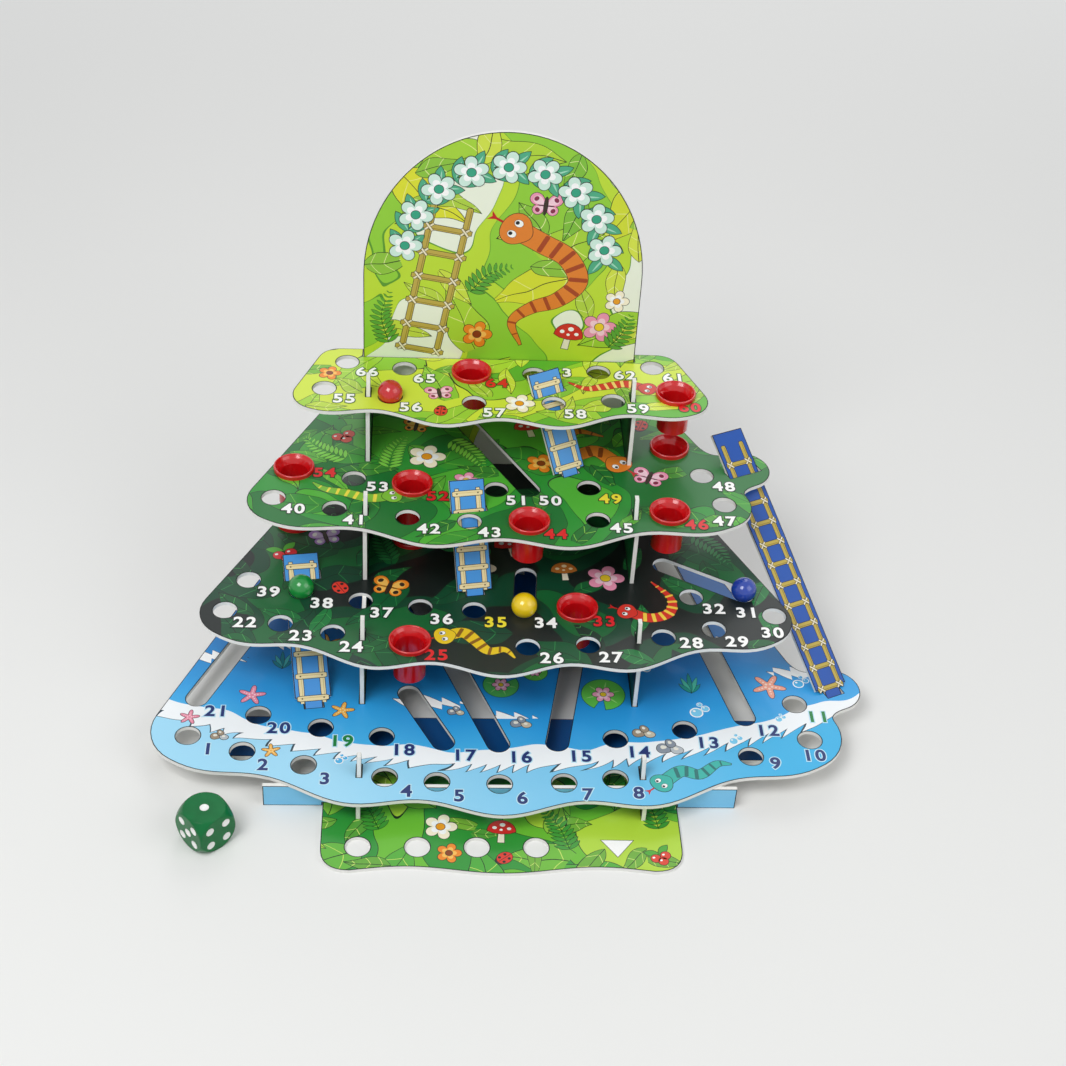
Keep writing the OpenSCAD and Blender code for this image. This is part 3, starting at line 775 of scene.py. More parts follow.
def lily_pad(ink, at, size, pad, vein):
    """A floating leaf with a notch, and a small flower on it."""
    turn = random.uniform(0, math.tau)
    ink.spot = (at, turn, size)
    ink.outlined(arc(0.28, math.tau - 0.28, 28) + [(0.12, 0)], 1, pad)
    for k in range(1, 6):
        ink.spot = (at, turn + k * math.tau / 6, size)
        ink.plate(set_at(blade(0.72, 0.07), (0.15, 0)), 3, vein)
    blossom(ink, at, size * 0.5, ("#f6a9c4", "#fbd3e0"), "#f4d22e", 6, 4)


def bubbles(ink, at, size, rim, shine):
    """A cluster of bubbles of three sizes."""
    ink.spot = (at, 0.0, size)
    for x, y, r in ((-0.2, -0.1, 0.5), (0.48, 0.3, 0.32), (0.1, 0.72, 0.22)):
        ink.plate(set_at(oval(r, r), (x, y)), 1, WHITE)
        ink.plate(set_at(oval(r, r), (x, y), size=0.8), 2, rim)
        ink.plate(set_at(oval(r * 0.22, r * 0.18, 12), (x - r * 0.3, y + r * 0.3)), 3, shine)


def reeds(ink, at, size, dark, light):
    """Water plants: five long leaves out of one root."""
    ink.spot = (at, 0.0, size)
    for k, (angle, reach) in enumerate(((0.9, 0.9), (1.25, 1.35), (1.6, 1.6), (1.95, 1.3), (2.3, 0.95))):
        leaf = set_at(blade(reach, 0.24), (0, -0.7), angle)
        ink.outlined(leaf, 1 + 2 * k, light if k % 2 else dark, LINE * 0.7)


def pebbles(ink, at, size, grey, pale):
    """Three rounded stones."""
    ink.spot = (at, 0.0, size)
    stones = ((-0.45, -0.1, 0.5, grey), (0.42, -0.22, 0.42, pale), (0.02, 0.38, 0.36, grey))
    for k, (x, y, r, code) in enumerate(stones):
        stone = round_ring(lambda a: r * (1 + 0.12 * math.cos(2 * a + k) + 0.06 * math.cos(3 * a)), 22)
        ink.outlined(set_at(stone, (x, y)), 1 + 3 * k, code)
        ink.plate(set_at(stone, (x - 0.1 * r, y + 0.25 * r), size=0.4), 3 + 3 * k, "#e9e6da")


def snake(ink, spine, half_width, skin):
    """A plain snake: a body that thins to its tail, a blunt head with two eyes, and a forked tongue."""
    left = []
    right = []
    for i, point in enumerate(spine):
        ahead = (spine[min(i + 1, len(spine) - 1)] - spine[max(i - 1, 0)]).normalized()
        share = i / (len(spine) - 1)
        across = Vector((-ahead.y, ahead.x)) * half_width * (1 + (SNAKE_TAIL - 1) * share ** TAPER)
        left.append(point + across)
        right.append(point - across)
    ink.spot = AS_DRAWN
    ink.outlined(right + left[::-1], 1, skin)
    nose = spine[0] - spine[1]
    ink.spot = (spine[0], math.atan2(nose.y, nose.x), half_width)
    tongue = [(1.6, -0.12), (2.6, -0.12), (3.3, -0.5), (3.0, 0.0), (3.3, 0.5), (2.6, 0.12), (1.6, 0.12)]
    ink.plate(tongue, 3, "#c4181c")
    ink.outlined(round_ring(lambda a: 1.5 + 0.45 * math.cos(a) - 0.1 * math.cos(3 * a), 28), 5, skin)
    for side in (-0.62, 0.62):
        ink.outlined(set_at(oval(0.42, 0.36, 14), (0.55, side)), 7, WHITE, LINE * 0.6)
        ink.plate(set_at(oval(0.19, 0.2, 12), (0.7, side)), 9, BLACK)


def snake_bands(name, path, long, wide, code, pitch, face):
    """Bands across a snake's body that thin with it."""
    band = InkLayers()
    band.plate(bar(long, wide), 3, code)
    along_paths(name, [path], band, face, pitch, SNAKE_TAIL)


# Where a card's print has room

def row_arc(x):
    """How far a row of holes bows back at this place across the board."""
    return ROW_R - math.sqrt(ROW_R ** 2 - (x - ROWS_X) ** 2)


def card_layout(node_name, place):
    """A card's outline, its openings as fat line pieces, and its numbered spots with their label sets."""
    rings = face_rings(node_name, place)
    outline = max(rings, key=ring_area)
    openings = []
    spots = []
    for ring in rings:
        if ring is outline:
            continue
        middle, half = ring_middle(ring)
        area = -ring_area(ring)
        if area > SLOT_AREA and max(half) > HOLE_D:
            foot = min(ring, key=lambda p: p.y) + Vector((0, SLOT_W / 2))
            reach = max(ring, key=lambda p: (p - foot).length) - foot
            openings.append((foot, foot + reach * (1 - SLOT_W / 2 / reach.length), SLOT_W / 2))
            spots.append((foot, LABEL_SET))
        elif area < SLIT_AREA:
            corner = max(ring, key=lambda p: (p - middle).length)
            openings.append((corner, middle * 2 - corner, SLIT_HALF))
        else:
            openings.append((middle, middle, max(half)))
            if max(abs(v - HOLE_D / 2) for v in half) < HOLE_NEAR:
                spots.append((middle, LABEL_SET))
    for funnel in NUMBERED_FUNNELS:
        low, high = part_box(funnel)
        if low[2] < place.translation.z < high[2]:
            middle = Vector((low[0] + high[0], low[1] + high[1])) / 2 / MM
            openings.append((middle, middle, FUNNEL_RIM_R))
            spots.append((middle, FUNNEL_LABEL_SET))
    return {"outline": outline, "openings": openings, "spots": spots, "labels": [], "figures": []}


def in_play_order(spots):
    """The front row from left to right, then the back row from right to left."""
    levels = [s[0].y - row_arc(s[0].x) for s in spots]
    between = (min(levels) + max(levels)) / 2
    front = sorted((s for s, level in zip(spots, levels) if level < between), key=lambda s: s[0].x)
    back = sorted((s for s, level in zip(spots, levels) if level >= between), key=lambda s: -s[0].x)
    return front + back


def is_free(layout, point, radius):
    """Whether a round figure fits there, clear of openings, numbers, other figures and the card's edge."""
    taken = layout["openings"] + layout["figures"] + layout["labels"]
    if any(gap_to(point, piece) < radius + FIGURE_GAP for piece in taken):
        return False
    outline = layout["outline"]
    edges = list(zip(outline, outline[1:] + outline[:1]))
    if any(gap_to(point, (a, b, 0)) < radius + EDGE_GAP for a, b in edges):
        return False
    crossings = [a.x + (point.y - a.y) / (b.y - a.y) * (b.x - a.x)
                 for a, b in edges if (a.y > point.y) != (b.y > point.y)]
    return sum(x > point.x for x in crossings) % 2 == 1


def label_place(layout, spot, label_set, half):
    """The usual place of a number beside its spot, or the nearest place round the spot that is free."""
    others = dict(layout, openings=[piece for piece in layout["openings"] if gap_to(spot, piece) > 0])
    for turn in sorted(range(-180, 180, 6), key=abs):
        for share in (1.0, 0.95):
            at = spot + Matrix.Rotation(math.radians(turn), 2) @ label_set * share
            if all(is_free(others, end, LABEL_ROOM) for end in (at - half, at + half)):
                return at
    return spot + label_set


def free_place(layout, radius, reach, tries=500):
    """A free place for a figure, or None; reach is how far back of the front row the print shows."""
    front = min(s[0].y - row_arc(s[0].x) for s in layout["spots"])
    width = max(p.x for p in layout["outline"])
    for _ in range(tries):
        x = random.uniform(2 * ROWS_X - width, width)
        point = Vector((x, front + row_arc(x) + random.uniform(-FRONT_REACH, reach)))
        if is_free(layout, point, radius):
            layout["figures"].append((point, point, radius))
            return point
    return None


def print_figures(ink, layout, figures, reach):
    """Figures of given sizes, each where the print has room for it."""
    for (draw, *colours), size in figures:
        at = free_place(layout, size * FIGURE_ROOM, reach)
        if at is not None:
            draw(ink, at, size, *colours)


# Card and prints

CARD = card_core("die_cut_card", UP)
UPRIGHT_CARD = card_core("die_cut_upright_card", FRONT)
PANEL_CARD = card_core("die_cut_panel_card", RIGHT, two_sided=True)
INKS = figure_ink()
DIGITS = {digit: digit_plates(digit) for digit in "0123456789"}
PATH_TREE = path_tree()
WATER = water_print("water_print")
BRACE_BLUE = plain_print("brace_blue_print", "#74c3ee", "#86cdf2")

# Each layer of leaves: spacing, half length and half width of a leaf, the shades of leaf, leaf and vein, the
# width of the ink line, the share of places that have a leaf, and a shift that sets the layers apart
START = foliage_print("start_foliage_print", ("#2f9436", "#6cbc34", "#b4d93f"), [
    (34, 19, 8, ("#3fa53a", "#8fce3c", "#c9e36a"), 0.34, 0.8, 0),
    (21, 11, 4.2, ("#2b8f38", "#a7d63f", "#d7ea7c"), 0.3, 0.6, 37)], painted_shade_behind=START_SHADE_Y)
DARK_GROUNDS = ("#141c1a", "#0a4029", "#12602f")
DARK_LEAVES = [(40, 22, 8, ("#0d5a30", "#16302a", "#2f8a48"), 0.32, 0.75, 0),
               (25, 13, 4.5, ("#1c7a3c", "#142822", "#48a352"), 0.3, 0.55, 53)]
DARK = foliage_print("dark_jungle_print", DARK_GROUNDS, DARK_LEAVES)
PANEL_DARK = foliage_print("panel_jungle_print", DARK_GROUNDS, DARK_LEAVES, BACK, UP)
JUNGLE = foliage_print("jungle_print", ("#1a6f2e", "#2a9032", "#50b035"), [
    (38, 21, 8, ("#1d7a30", "#4fae34", "#7cc647"), 0.32, 0.8, 11),
    (23, 12, 4.3, ("#1a6b2e", "#63b837", "#93d150"), 0.3, 0.6, 71)])
LIME = foliage_print("lime_foliage_print", ("#5fb233", "#94cd37", "#cfe23f"), [
    (36, 20, 8, ("#7cc238", "#b9db3d", "#dcea72"), 0.32, 0.8, 23),
    (22, 11.5, 4.3, ("#56ab35", "#d3e445", "#e6f08c"), 0.3, 0.6, 97)])
HEADER = foliage_print("header_foliage_print", ("#93cf38", "#c0de36", "#f0f5e2"), [
    (46, 26, 11, ("#9ad23a", "#dfe02e", "#eef09a"), 0.36, 0.75, 5),
    (27, 14, 5, ("#79bd39", "#dbe64a", "#eef4a8"), 0.3, 0.6, 61)], RIGHT, UP, outline="#5a9a2c")

TOP_PRINTS = [("start_board", START, "print_start"), ("tier_1_board", WATER, "print_water"),
              ("tier_2_board", DARK, "print_dark_jungle"), ("tier_3_board", JUNGLE, "print_jungle"),
              ("tier_4_board", LIME, "print_leaves")]
top_faces = {}
for node_name, material, slot in TOP_PRINTS:
    dress(node_name, CARD)
    top_faces[node_name] = printed_face(node_name, UP, RIGHT, slot)
    print_sheet(node_name.replace("board", "print"), node_name, top_faces[node_name], material)
header_face = printed_face("header_panel", FRONT, RIGHT, "print_leaves")
dress("header_panel", UPRIGHT_CARD)
print_sheet("header_print", "header_panel", header_face, HEADER)
dress("front_brace", UPRIGHT_CARD)
brace_face = printed_face("front_brace", FRONT, RIGHT, "print_water")
print_sheet("brace_print", "front_brace", brace_face, BRACE_BLUE)
for node_name in ("left_side_panel", "right_side_panel"):
    dress(node_name, PANEL_CARD)
    for way, facing in (("right", RIGHT), ("left", -RIGHT)):
        face = printed_face(node_name, facing, UP.cross(facing), "print_dark_jungle")
        print_sheet(node_name.replace("panel", way + "_print"), node_name, face, PANEL_DARK)

# Ladder strips, in millimetres
LADDERS = [j for j in frame["record"]["behaviour"]["joints"] if j["name"].startswith("ladder")]
STRIP_BLUE = plain_print("strip_blue_print", "#3b8bd4", "#4a9be0")
STRIP_NAVY = plain_print("strip_navy_print", "#1c4fa4", "#2459b2")
WOOD = "#ead9a6"
WOOD_GRAIN = "#c9ad6a"
BAMBOO = "#c2aa4c"
BAMBOO_SHADE = "#8f7a2c"
RAIL_OUT = 5.4      # a rail's middle from the strip's middle
RAIL_W = 2.3
RAIL_PAST = 5.0     # the rails run past the outer rungs by this much in all
GRAIN_SET = 0.35    # a plank's grain line from its middle
FOOT_BARE = 7.0     # the strip's ends carry no rung
PLANK_PITCH = 10.0
CANE_PITCH = 11.5


def plank_rung():
    """A plank across the rails with a nail at each end."""
    rung = InkLayers()
    rung.outlined(bar(15.4, 2.5), 3, WOOD)
    rung.plate(set_at(bar(13.0, 0.22), (GRAIN_SET, 0)), 5, WOOD_GRAIN)
    for side in (-RAIL_OUT, RAIL_OUT):
        rung.plate(set_at(oval(0.4, 0.4, 10), (0, side)), 6, "#4a3b22")
    return rung


def bamboo_rung(pitch, wide=1.0):
    """A bamboo cane tied over a joint of each rail with crossed lashings."""
    rung = InkLayers()
    thick = RAIL_W * math.sqrt(wide)
    for side in (-RAIL_OUT * wide, RAIL_OUT * wide):
        rung.outlined(set_at(bar(pitch * 0.96, thick), (pitch / 2, side), math.pi / 2), 1, BAMBOO)
        shade = set_at(bar(pitch * 0.8, 0.35), (pitch / 2, side - 0.22 * thick), math.pi / 2)
        rung.plate(shade, 3, BAMBOO_SHADE)
    rung.outlined(bar(14.8 * wide, thick), 4, BAMBOO)
    rung.plate(set_at(bar(13.0 * wide, 0.35), (-0.24 * thick, 0)), 6, BAMBOO_SHADE)
    for side in (-RAIL_OUT * wide, RAIL_OUT * wide):
        for layer, turn in ((7, 0.8), (9, -0.8)):
            lashing = set_at(bar(1.9 * thick, 0.33 * thick), (0, side), turn)
            rung.outlined(lashing, layer, "#f0e6c8", LINE * 0.7)
    return rung


def plank_rails(middle, length):
    """Two planks along a strip, each with a line of grain."""
    rails = InkLayers()
    for side in (-RAIL_OUT, RAIL_OUT):
        rails.outlined(set_at(bar(length + RAIL_PAST, RAIL_W), middle + Vector((side, 0))), 1, WOOD)
        rails.plate(set_at(bar(length, 0.25), middle + Vector((side + GRAIN_SET, 0))), 2.5, WOOD_GRAIN)
    return rails


for joint in LADDERS:
    node_name = joint["name"].replace("_pull", "")
    along = Vector(joint["axis"]).normalized()
    across = along.cross(UP).normalized()
    facing = across.cross(along)
    face = printed_face(node_name, facing, across, "print_ladder")
    dress(node_name, card_core("die_cut_" + node_name, facing))
    is_long = node_name == "ladder_11_to_48"
    print_sheet(node_name + "_print", node_name, face, STRIP_NAVY if is_long else STRIP_BLUE)
    middle, half = ring_middle(face_rings(node_name, face[0])[0])
    low = middle - Vector((0, half.y - FOOT_BARE))
    high = middle + Vector((0, half.y - FOOT_BARE))
    length = (high - low).length
    pitch = length / round(length / (CANE_PITCH if is_long else PLANK_PITCH))
    if is_long:
        along_paths(node_name + "_rungs", [[low, high - Vector((0, pitch))]], bamboo_rung(pitch), face, pitch)
    else:
        new_piece(node_name + "_rails", plank_rails(middle, length).finished(), INKS, face)
        along_paths(node_name + "_rungs", [[low, high]], plank_rung(), face, pitch)

# Figures in their colours
PINK = ("#f29ab8", "#fbd2df")
CREAM = ("#fdf3d8", "#ffffff")
ORANGE = ("#f08a24", "#f9c25c")
LILAC = ("#b58ad6", "#dcc4ee")
PINK_BLOSSOM = (blossom, PINK, "#f4d22e")
CREAM_BLOSSOM = (blossom, CREAM, "#f0a020")
LILAC_BLOSSOM = (blossom, LILAC, "#f4d22e")
ORANGE_BLOSSOM = (blossom, ORANGE, "#8a3a10")
PINK_BUTTERFLY = (butterfly, PINK, "#8a2a4a")
LILAC_BUTTERFLY = (butterfly, LILAC, WHITE)
ORANGE_BUTTERFLY = (butterfly, ORANGE, "#3a2a20")
RED_TOADSTOOL = (toadstool, "#d62a26", WHITE)
BROWN_TOADSTOOL = (toadstool, "#c9782e", "#fbe6b8")
RED_BERRIES = (berries, "#d8323a", WHITE)
ORANGE_BERRIES = (berries, "#e0452e", WHITE)
LADYBIRD = (ladybird, "#e03a2a", BLACK)
GREEN_PAD = (lily_pad, "#5fbf4a", "#9bd97a")
SEA_PAD = (lily_pad, "#4fb255", "#8fd37c")
TEAL_REEDS = (reeds, "#1f9a8c", "#4cc4a8")
BLUE_REEDS = (reeds, "#1a8a96", "#48b8b8")
MINT_REEDS = (reeds, "#1f8f7c", "#58c99a")
CORAL_STAR = (starfish, "#f2a38c", "#fbd9c8")
AMBER_STAR = (starfish, "#f0b04a", "#fbe0a0")
ROSE_STAR = (starfish, "#e98aa2", "#fbd2dc")
GREY_PEBBLES = (pebbles, "#8a94a0", "#b9c0c4")
SAND_PEBBLES = (pebbles, "#a08f78", "#cbbfa6")
GREY_SAND_PEBBLES = (pebbles, "#8a94a0", "#cbbfa6")
SAND_GREY_PEBBLES = (pebbles, "#a08f78", "#b9c0c4")
PALE_BUBBLES = (bubbles, "#7fd0f2", WHITE)
BLUE_BUBBLES = (bubbles, "#4fb6ea", WHITE)

# Each tier: its first number, the ink and edge of its numbers, how far behind its front row it shows, the
# leaf and stem of its ferns, its snakes (skin, bands, half width, route from the head) and its figures with
# their sizes
TIERS = {
    "tier_1_board": dict(
        first=1, inks=("#1b2f6e", "#c4e9f9"), reach=88, ferns=None,
        snakes=[("#2fb3a6", "#17706e", 3.6, [(71, -86), (80, -79), (89, -81), (98, -74), (105, -74)])],
        figures=[(GREEN_PAD, 11), (TEAL_REEDS, 9), (SEA_PAD, 9), (CORAL_STAR, 9), (BLUE_REEDS, 8),
                 (AMBER_STAR, 8), (GREY_PEBBLES, 7), (PALE_BUBBLES, 7), (MINT_REEDS, 7), (ROSE_STAR, 7),
                 (SAND_PEBBLES, 6), (BLUE_BUBBLES, 6), (GREY_SAND_PEBBLES, 5.5), (AMBER_STAR, 6),
                 (PALE_BUBBLES, 5), (GREEN_PAD, 6.5), (CORAL_STAR, 5.5), (PALE_BUBBLES, 5),
                 (SAND_GREY_PEBBLES, 4.6), (ROSE_STAR, 5), (BLUE_BUBBLES, 4.4), (AMBER_STAR, 4.6),
                 (GREY_SAND_PEBBLES, 4.4), (PALE_BUBBLES, 4)]),
    "tier_2_board": dict(
        first=22, inks=(WHITE, "#10201a"), reach=86, ferns=("#2f8a4a", "#1c5a34"),
        snakes=[("#e9c51f", "#8a5a12", 3.6,
                 [(-34, -21), (-26, -19), (-20, -25), (-14, -32), (-6, -31), (-1, -37)]),
                ("#d8362a", "#f6d34a", 3.4, [(58, -2), (68, -6), (78, -2), (80, 9), (71, 22)])],
        figures=[(PINK_BLOSSOM, 10), (ORANGE_BUTTERFLY, 10), (RED_TOADSTOOL, 10), (CREAM_BLOSSOM, 9),
                 (RED_BERRIES, 9), (LILAC_BUTTERFLY, 9), (LADYBIRD, 6), (LILAC_BLOSSOM, 7),
                 (BROWN_TOADSTOOL, 8)]),
    "tier_3_board": dict(
        first=40, inks=(WHITE, "#14301a"), reach=82, ferns=("#7fcf4a", "#2f7a2a"),
        snakes=[("#7fbf3a", "#f2e04a", 3.4, [(-64, 46), (-74, 44), (-86, 48), (-97, 51), (-103, 56)]),
                ("#e5822a", "#8c3d12", 4.6, [(54, 78), (44, 88), (33, 84), (25, 94), (35, 105), (49, 101)])],
        figures=[(CREAM_BLOSSOM, 10), (PINK_BUTTERFLY, 10), (ORANGE_BERRIES, 9), (RED_TOADSTOOL, 9),
                 (ORANGE_BLOSSOM, 8), (LADYBIRD, 6), (PINK_BLOSSOM, 7), (ORANGE_BUTTERFLY, 8)]),
    "tier_4_board": dict(
        first=55, inks=(WHITE, "#2a5420"), reach=30, ferns=("#4f9f2e", "#2f6a1e"),
        snakes=[("#d63a2c", "#f8dc7a", 3.2, [(68, 97), (58, 100.5), (46, 97.5), (37, 95.5), (28, 101)])],
        figures=[(CREAM_BLOSSOM, 8), (PINK_BUTTERFLY, 8), (LADYBIRD, 5), (ORANGE_BLOSSOM, 6),
                 (RED_BERRIES, 6)])}
# Numbers where a ladder starts are green or yellow, and numbers beside a funnel are red
SPECIAL_INK = {**dict.fromkeys((11, 19), "#15803c"), **dict.fromkeys((35, 49), "#f4e23a"),
               **dict.fromkeys((25, 33, 44, 46, 52, 54, 60, 64), "#e01f26")}
SNAKE_NECK = 6      # the bands start this many points behind the head
FERNS = 8           # ferns tried on each tier

# Ferns, in millimetres
FERN_LONG = 26.0
FERN_BEND = 4.0
FERN_ROOT_R = 7.5   # free radius at the root
FERN_R = 6.0        # and along the stem, where it narrows to the tip
FERN_NARROWS = 4.0
FERN_TRIES = 40
FERN_PITCH = 2.6    # from one pair of leaflets to the next
FERN_END = 0.25     # size of the last pair, as a share of the first
FERN_RISE = INK * 0.1


def leaflet_pair(code, rib):
    """One step of a fern: a leaf on each side and a piece of the stem."""
    pair = InkLayers()
    for side in (-1.05, 1.05):
        pair.outlined(set_at(blade(7.2, 2.2), turn=side), 1, code, LINE * 0.75)
    pair.plate(set_at(bar(FERN_PITCH, 0.55), (0.9, 0), math.pi / 2), 3, rib)
    return pair


def fern_routes(layout, count, reach):
    """Stems of ferns, bent a little, where the print has room for them."""
    routes = []
    for _ in range(count):
        root = free_place(layout, FERN_ROOT_R, reach)
        if root is None:
            continue
        for _ in range(FERN_TRIES):
            turn = random.uniform(0, math.tau)
            way = Vector((math.cos(turn), math.sin(turn)))
            bend = Vector((-way.y, way.x)) * random.choice((-FERN_BEND, FERN_BEND))
            half_way = root + way * FERN_LONG * 0.55 + bend * 0.6
            route = smooth([root, half_way, root + way * FERN_LONG + bend * 2])
            rest = dict(layout, figures=layout["figures"][:-1])
            if all(is_free(rest, p, FERN_R - FERN_NARROWS * i / len(route)) for i, p in enumerate(route)):
                layout["figures"][-1] = (root, route[-1], FERN_R + 0.5)
                routes.append(route)
                break
        else:
            layout["figures"].pop()
    return routes


def print_ferns(name, layout, codes, count, reach, face):
    """Ferns on a card, if its print has room for any."""
    routes = fern_routes(layout, count, reach)
    if routes:
        along_paths(name, routes, leaflet_pair(*codes), face, FERN_PITCH, FERN_END, FERN_RISE)


def print_numbers(ink, layout, first, code, halo):
    """The numbers of a tier, each beside its hole, slot or funnel, with an edge that sets it off."""
    for number, (spot, label_set) in enumerate(in_play_order(layout["spots"]), first):
        digits = str(number)
        half = LABEL_HALF * len(digits)
        at = label_place(layout, spot, EDGE_LABEL_SET.get(number, label_set), half)
        layout["labels"].append((at - half, at + half, LABEL_HALF_HIGH))
        for k, digit in enumerate(digits):
            shift = Vector(((k - (len(digits) - 1) / 2) * DIGIT_PITCH, 0))
            for plate, colour in zip(DIGITS[digit], (halo, SPECIAL_INK.get(number, code))):
                ink.stamped(plate, at + shift, colour)


for node_name, tier in TIERS.items():
    name = node_name.replace("_board", "")
    face = top_faces[node_name]
    layout = card_layout(node_name, face[0])
    ink = InkLayers()
    for k, (skin, band, half_width, route) in enumerate(tier["snakes"], 1):
        spine = smooth(route)
        snake(ink, spine, half_width, skin)
        snake_bands("%s_snake_bands_%d" % (name, k), spine[SNAKE_NECK:], half_width * 1.9, half_width * 0.55,
                    band, half_width * 1.3, face)
        layout["figures"] += [(p, p, half_width + 0.5) for p in spine]
    print_numbers(ink, layout, tier["first"], *tier["inks"])
    print_figures(ink, layout, tier["figures"], tier["reach"])
    if tier["ferns"]:
        print_ferns(name + "_ferns", layout, tier["ferns"], FERNS, tier["reach"], face)
    new_piece(name + "_figures", ink.finished(), INKS, face)

# Start board: the plain start arrow, ferns and figures
START_ARROW = [Vector((39.7, -112.2)), Vector((46.9, -122.6)), Vector((54.8, -112.4))]
START_FERNS = 3
START_FERN_REACH = 14
START_REACH = 18
START_FIGURES = [(CREAM_BLOSSOM, 8), (PINK_BUTTERFLY, 8), (RED_TOADSTOOL, 8), (ORANGE_BERRIES, 7),
                 (LADYBIRD, 5), (ORANGE_BLOSSOM, 6)]
face = top_faces["start_board"]
layout = card_layout("start_board", face[0])
ink = InkLayers()
ink.outlined(START_ARROW, 1, WHITE)
layout["figures"].append((START_ARROW[0], START_ARROW[2], 6.0))
print_ferns("start_ferns", layout, ("#3f9a34", "#22601e"), START_FERNS, START_FERN_REACH, face)
print_figures(ink, layout, START_FIGURES, START_REACH)
new_piece("start_figures", ink.finished(), INKS, face)

# Header: a garland in an arch, a bamboo ladder, a banded snake, flowers and ferns, in millimetres
GARLAND_R = 51.0
GARLAND_AT = (ROWS_X, 181.0)
GARLAND_PITCH = 18.5
GARLAND_LAYER = 20      # the flowers lie over every leaf
HEADER_LADDER = [(-50.0, 124.0), (-37.0, 196.0)]
HEADER_CANE_PITCH = 14.4
HEADER_LADDER_WIDE = 1.7
HEADER_SNAKE = smooth([(0, 196), (12, 189), (25, 181), (31, 167), (21, 156), (8, 151), (-2, 142), (3, 128)])
HEADER_FIGURES = [(PINK_BUTTERFLY, (12, 211), 9), (PINK_BLOSSOM, (44, 140), 9),
                  (ORANGE_BLOSSOM, (-20, 134), 8), (CREAM_BLOSSOM, (52, 156), 6.5),
                  (RED_TOADSTOOL, (28, 134), 9)]
HEADER_FERNS = [[(-66, 128), (-70, 144), (-66, 158)], [(50, 128), (56, 136), (60, 147)],
                [(-24, 160), (-16, 170), (-4, 175)]]


def garland_path(first, last):
    """A path along the garland's arch, from one angle to another, in degrees."""
    return set_at(arc(math.radians(first), math.radians(last), 40, GARLAND_R), GARLAND_AT)


sprig = InkLayers()
for side in (0.75, -0.75):
    sprig.outlined(set_at(blade(13, 5.4), turn=side), 1, "#4fae86")
    sprig.plate(set_at(blade(10, 1.0), (1, 0), side), 3, "#a5dcc2")
along_paths("header_garland_leaves", [garland_path(176, 2)], sprig, header_face, GARLAND_PITCH / 2,
            rise=INK * 0.2)
flower = InkLayers()
blossom(flower, (0, 0), 8.8, ("#d3efe2", "#ffffff"), "#35a583", layer=GARLAND_LAYER)
along_paths("header_garland", [garland_path(174, 6)], flower, header_face, GARLAND_PITCH)
along_paths("header_ladder", [HEADER_LADDER], bamboo_rung(HEADER_CANE_PITCH, HEADER_LADDER_WIDE), header_face,
            HEADER_CANE_PITCH)
ink = InkLayers()
snake(ink, HEADER_SNAKE, 5.6, "#e5822a")
snake_bands("header_snake_bands", HEADER_SNAKE[8:], 10.4, 2.6, "#a8431a", 7.0, header_face)
for (draw, *colours), at, size in HEADER_FIGURES:
    draw(ink, at, size, *colours)
new_piece("header_figures", ink.finished(), INKS, header_face)
along_paths("header_ferns", [smooth(route) for route in HEADER_FERNS], leaflet_pair("#5aa836", "#2f6a1e"),
            header_face, FERN_PITCH, FERN_END, FERN_RISE)

# Moulded pieces
FUNNEL = moulded_plastic("moulded_red_plastic", "#dc1219", "#c40d14", 0.16, 0.5)
FINISHES = {"red_ball": moulded_plastic("gloss_red_plastic", "#cf141a", "#b80f16", 0.12, 0.6),
            "green_ball": moulded_plastic("gloss_green_plastic", "#129a3e", "#0d8233", 0.12, 0.6),
            "yellow_ball": moulded_plastic("gloss_yellow_plastic", "#f7d90c", "#eec506", 0.12, 0.6),
            "blue_ball": moulded_plastic("gloss_blue_plastic", "#1c46b4", "#15389c", 0.12, 0.6),
            "die": moulded_plastic("gloss_die_plastic", "#067a3e", "#045c2e", 0.14, 0.1, 0.2, 1.2)}
for node_name in frame["nodes"]:
    if node_name.startswith("funnel") or node_name in FINISHES:
        dress(node_name, FINISHES.get(node_name, FUNNEL))

# Paint in the die's pips, in millimetres
DIE_W = 20.0
DIE_ROUND_D = 28.0  # the ball that rounds off the die's corners
DIE_TURN = math.radians(42)
PIP_PAINT = 0.05    # thickness of the paint
UNDER_FACE = 0.02   # a dimple's faces lie further in than this below the flat faces
UNDER_ROUND = 0.2   # and than this below the rounded corners


def in_dimple(at):
    """Whether a place on the die, from its middle, lies below its flat faces and its rounded corners."""
    reach = max(abs(v) for v in Matrix.Rotation(-DIE_TURN, 3, "Z") @ at)
    return reach < (DIE_W / 2 - UNDER_FACE) * MM and at.length < (DIE_ROUND_D / 2 - UNDER_ROUND) * MM


def paint_pips():
    """A thin closed layer of enamel in every dimple of the die."""
    low, high = (Vector(corner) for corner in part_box("die"))
    dimples = bmesh.new()
    dimples.from_mesh(frame["nodes"]["die"].data)
    bmesh.ops.remove_doubles(dimples, verts=dimples.verts, dist=WELD)
    others = [f for f in dimples.faces if not in_dimple(f.calc_center_median() - (low + high) / 2)]
    bmesh.ops.delete(dimples, geom=others, context="FACES")
    bmesh.ops.solidify(dimples, geom=dimples.faces, thickness=-PIP_PAINT * MM)
    bmesh.ops.recalc_face_normals(dimples, faces=dimples.faces)
    mesh = bpy.data.meshes.new("die_pips")
    dimples.to_mesh(mesh)
    dimples.free()
    new_piece("die_pips", mesh, pip_enamel(), (Matrix(), body_of("die"), "die_green"))


paint_pips()

# Stage, in metres
FADE = (0.55, 1.6)  # the floor fades between these distances
LAMPS_LOOK_AT = Vector((0, 0, 0.06))


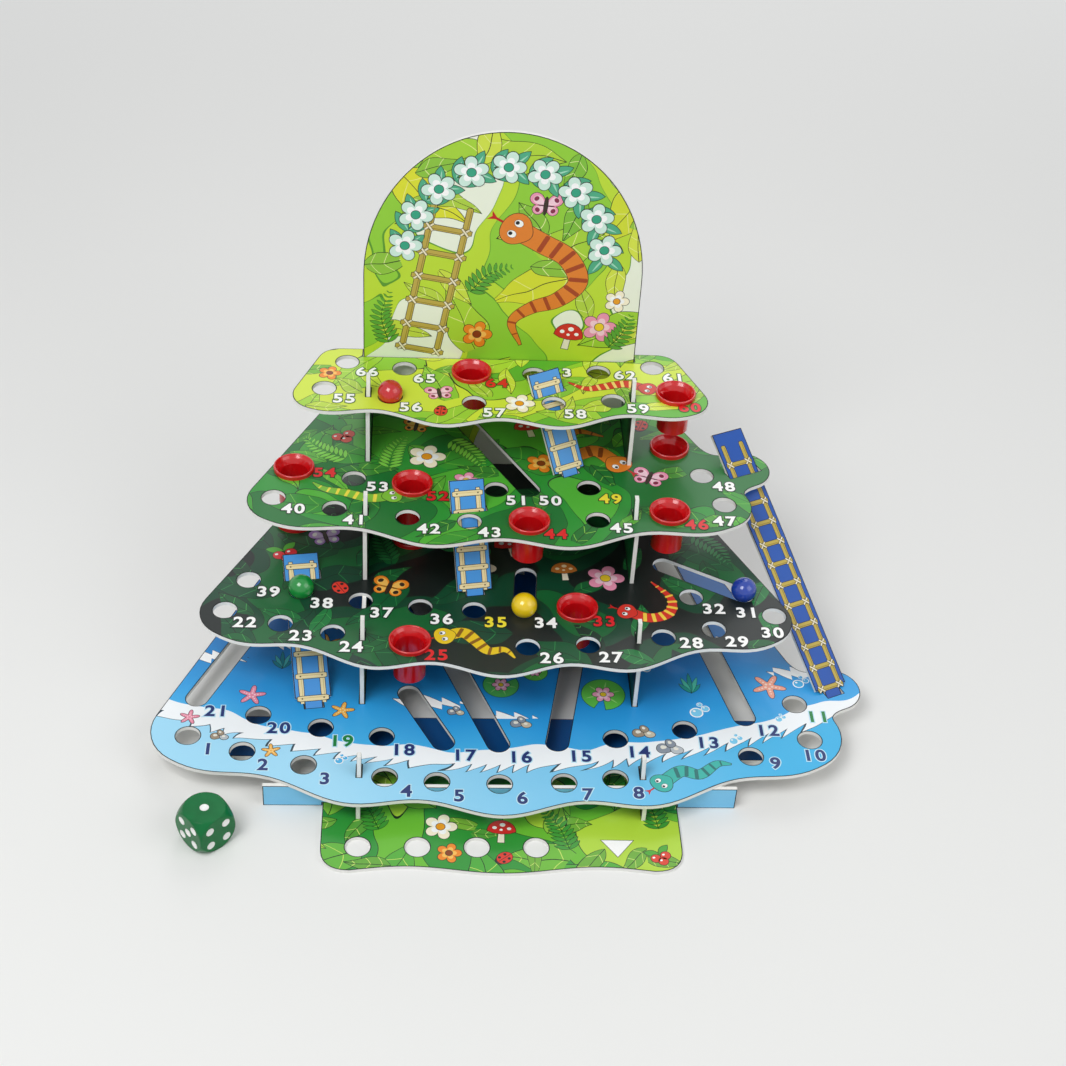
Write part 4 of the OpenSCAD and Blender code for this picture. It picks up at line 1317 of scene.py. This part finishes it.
def seen_rays(tree):
    """One for the rays that show a surface to the camera, straight or mirrored."""
    rays = add(tree, "LightPath").outputs
    glossy = add(tree, "Math", [rays["Is Camera Ray"], rays["Is Glossy Ray"]], operation="MAXIMUM")
    return add(tree, "Math", [glossy, rays["Is Transmission Ray"]], operation="MAXIMUM")


def pale_floor():
    """Matt pale paper under the board, that fades into an evenly pale backdrop further out."""
    made, tree, shader = new_finish("pale_floor", {"Roughness": 0.9, "Specular IOR Level": 0.1,
                                                   "Base Color": srgb("#ececea")})
    away = add(tree, "VectorMath", [add(tree, "TexCoord").outputs["Object"]], operation="LENGTH")
    far = add(tree, "MapRange", {"Value": away, "From Min": FADE[0], "From Max": FADE[1]},
              interpolation_type="SMOOTHSTEP")
    seen = add(tree, "Math", [far, seen_rays(tree)], operation="MULTIPLY")
    glow = add(tree, "Emission", {"Color": srgb("#e9eaea")})
    both = add(tree, "MixShader", [seen, shader, glow])
    wire(tree, tree.nodes["Material Output"], {"Surface": both})
    return made


def lamp(name, place, size, power):
    """A square soft lamp that looks at the board."""
    light = bpy.data.lights.new(name, "AREA")
    light.shape = "SQUARE"
    light.size = size
    light.energy = power
    holder = bpy.data.objects.new(name, light)
    holder.location = place
    holder.rotation_euler = (LAMPS_LOOK_AT - Vector(place)).to_track_quat("-Z", "Y").to_euler()
    bpy.context.scene.collection.objects.link(holder)


floor_mesh = bpy.data.meshes.new("floor")
floor_mesh.from_pydata([(-4, -4, 0), (4, -4, 0), (4, 4, 0), (-4, 4, 0)], [], [(0, 1, 2, 3)])
floor_mesh.materials.append(pale_floor())
floor = bpy.data.objects.new("floor", floor_mesh)
bpy.context.scene.collection.objects.link(floor)
lamp("key_lamp", (-0.55, -0.65, 1.25), 0.7, 11)
lamp("fill_lamp", (0.95, -0.55, 0.9), 0.9, 4)
lamp("back_lamp", (0.2, 1.1, 1.0), 0.9, 4)
world = bpy.data.worlds.new("studio")
bpy.context.scene.world = world
world.use_nodes = True
sky = world.node_tree
level = add(sky, "MapRange", {"Value": seen_rays(sky), "To Min": 0.42, "To Max": 0.9})
wire(sky, sky.nodes["Background"], {"Color": srgb("#f4f6f8"), "Strength": level})

# Camera, fitted to the rows of holes in the picture
CAMERA_AT = (-52.8, -728.8, 685.4)
CAMERA_TURN = (51.01, -5.78, -3.59)
FOCAL_PX = 1922
PICTURE_PX = 1066
camera_data = bpy.data.cameras.new("camera")
camera_data.sensor_width = 36
camera_data.lens = FOCAL_PX / PICTURE_PX * camera_data.sensor_width
camera_data.clip_start = 0.01
camera = bpy.data.objects.new("camera", camera_data)
camera.rotation_mode = "ZXY"
camera.rotation_euler = [math.radians(a) for a in CAMERA_TURN]
camera.location = Vector(CAMERA_AT) * MM
bpy.context.scene.collection.objects.link(camera)
bpy.context.scene.camera = camera
bpy.context.scene.view_settings.view_transform = "Standard"
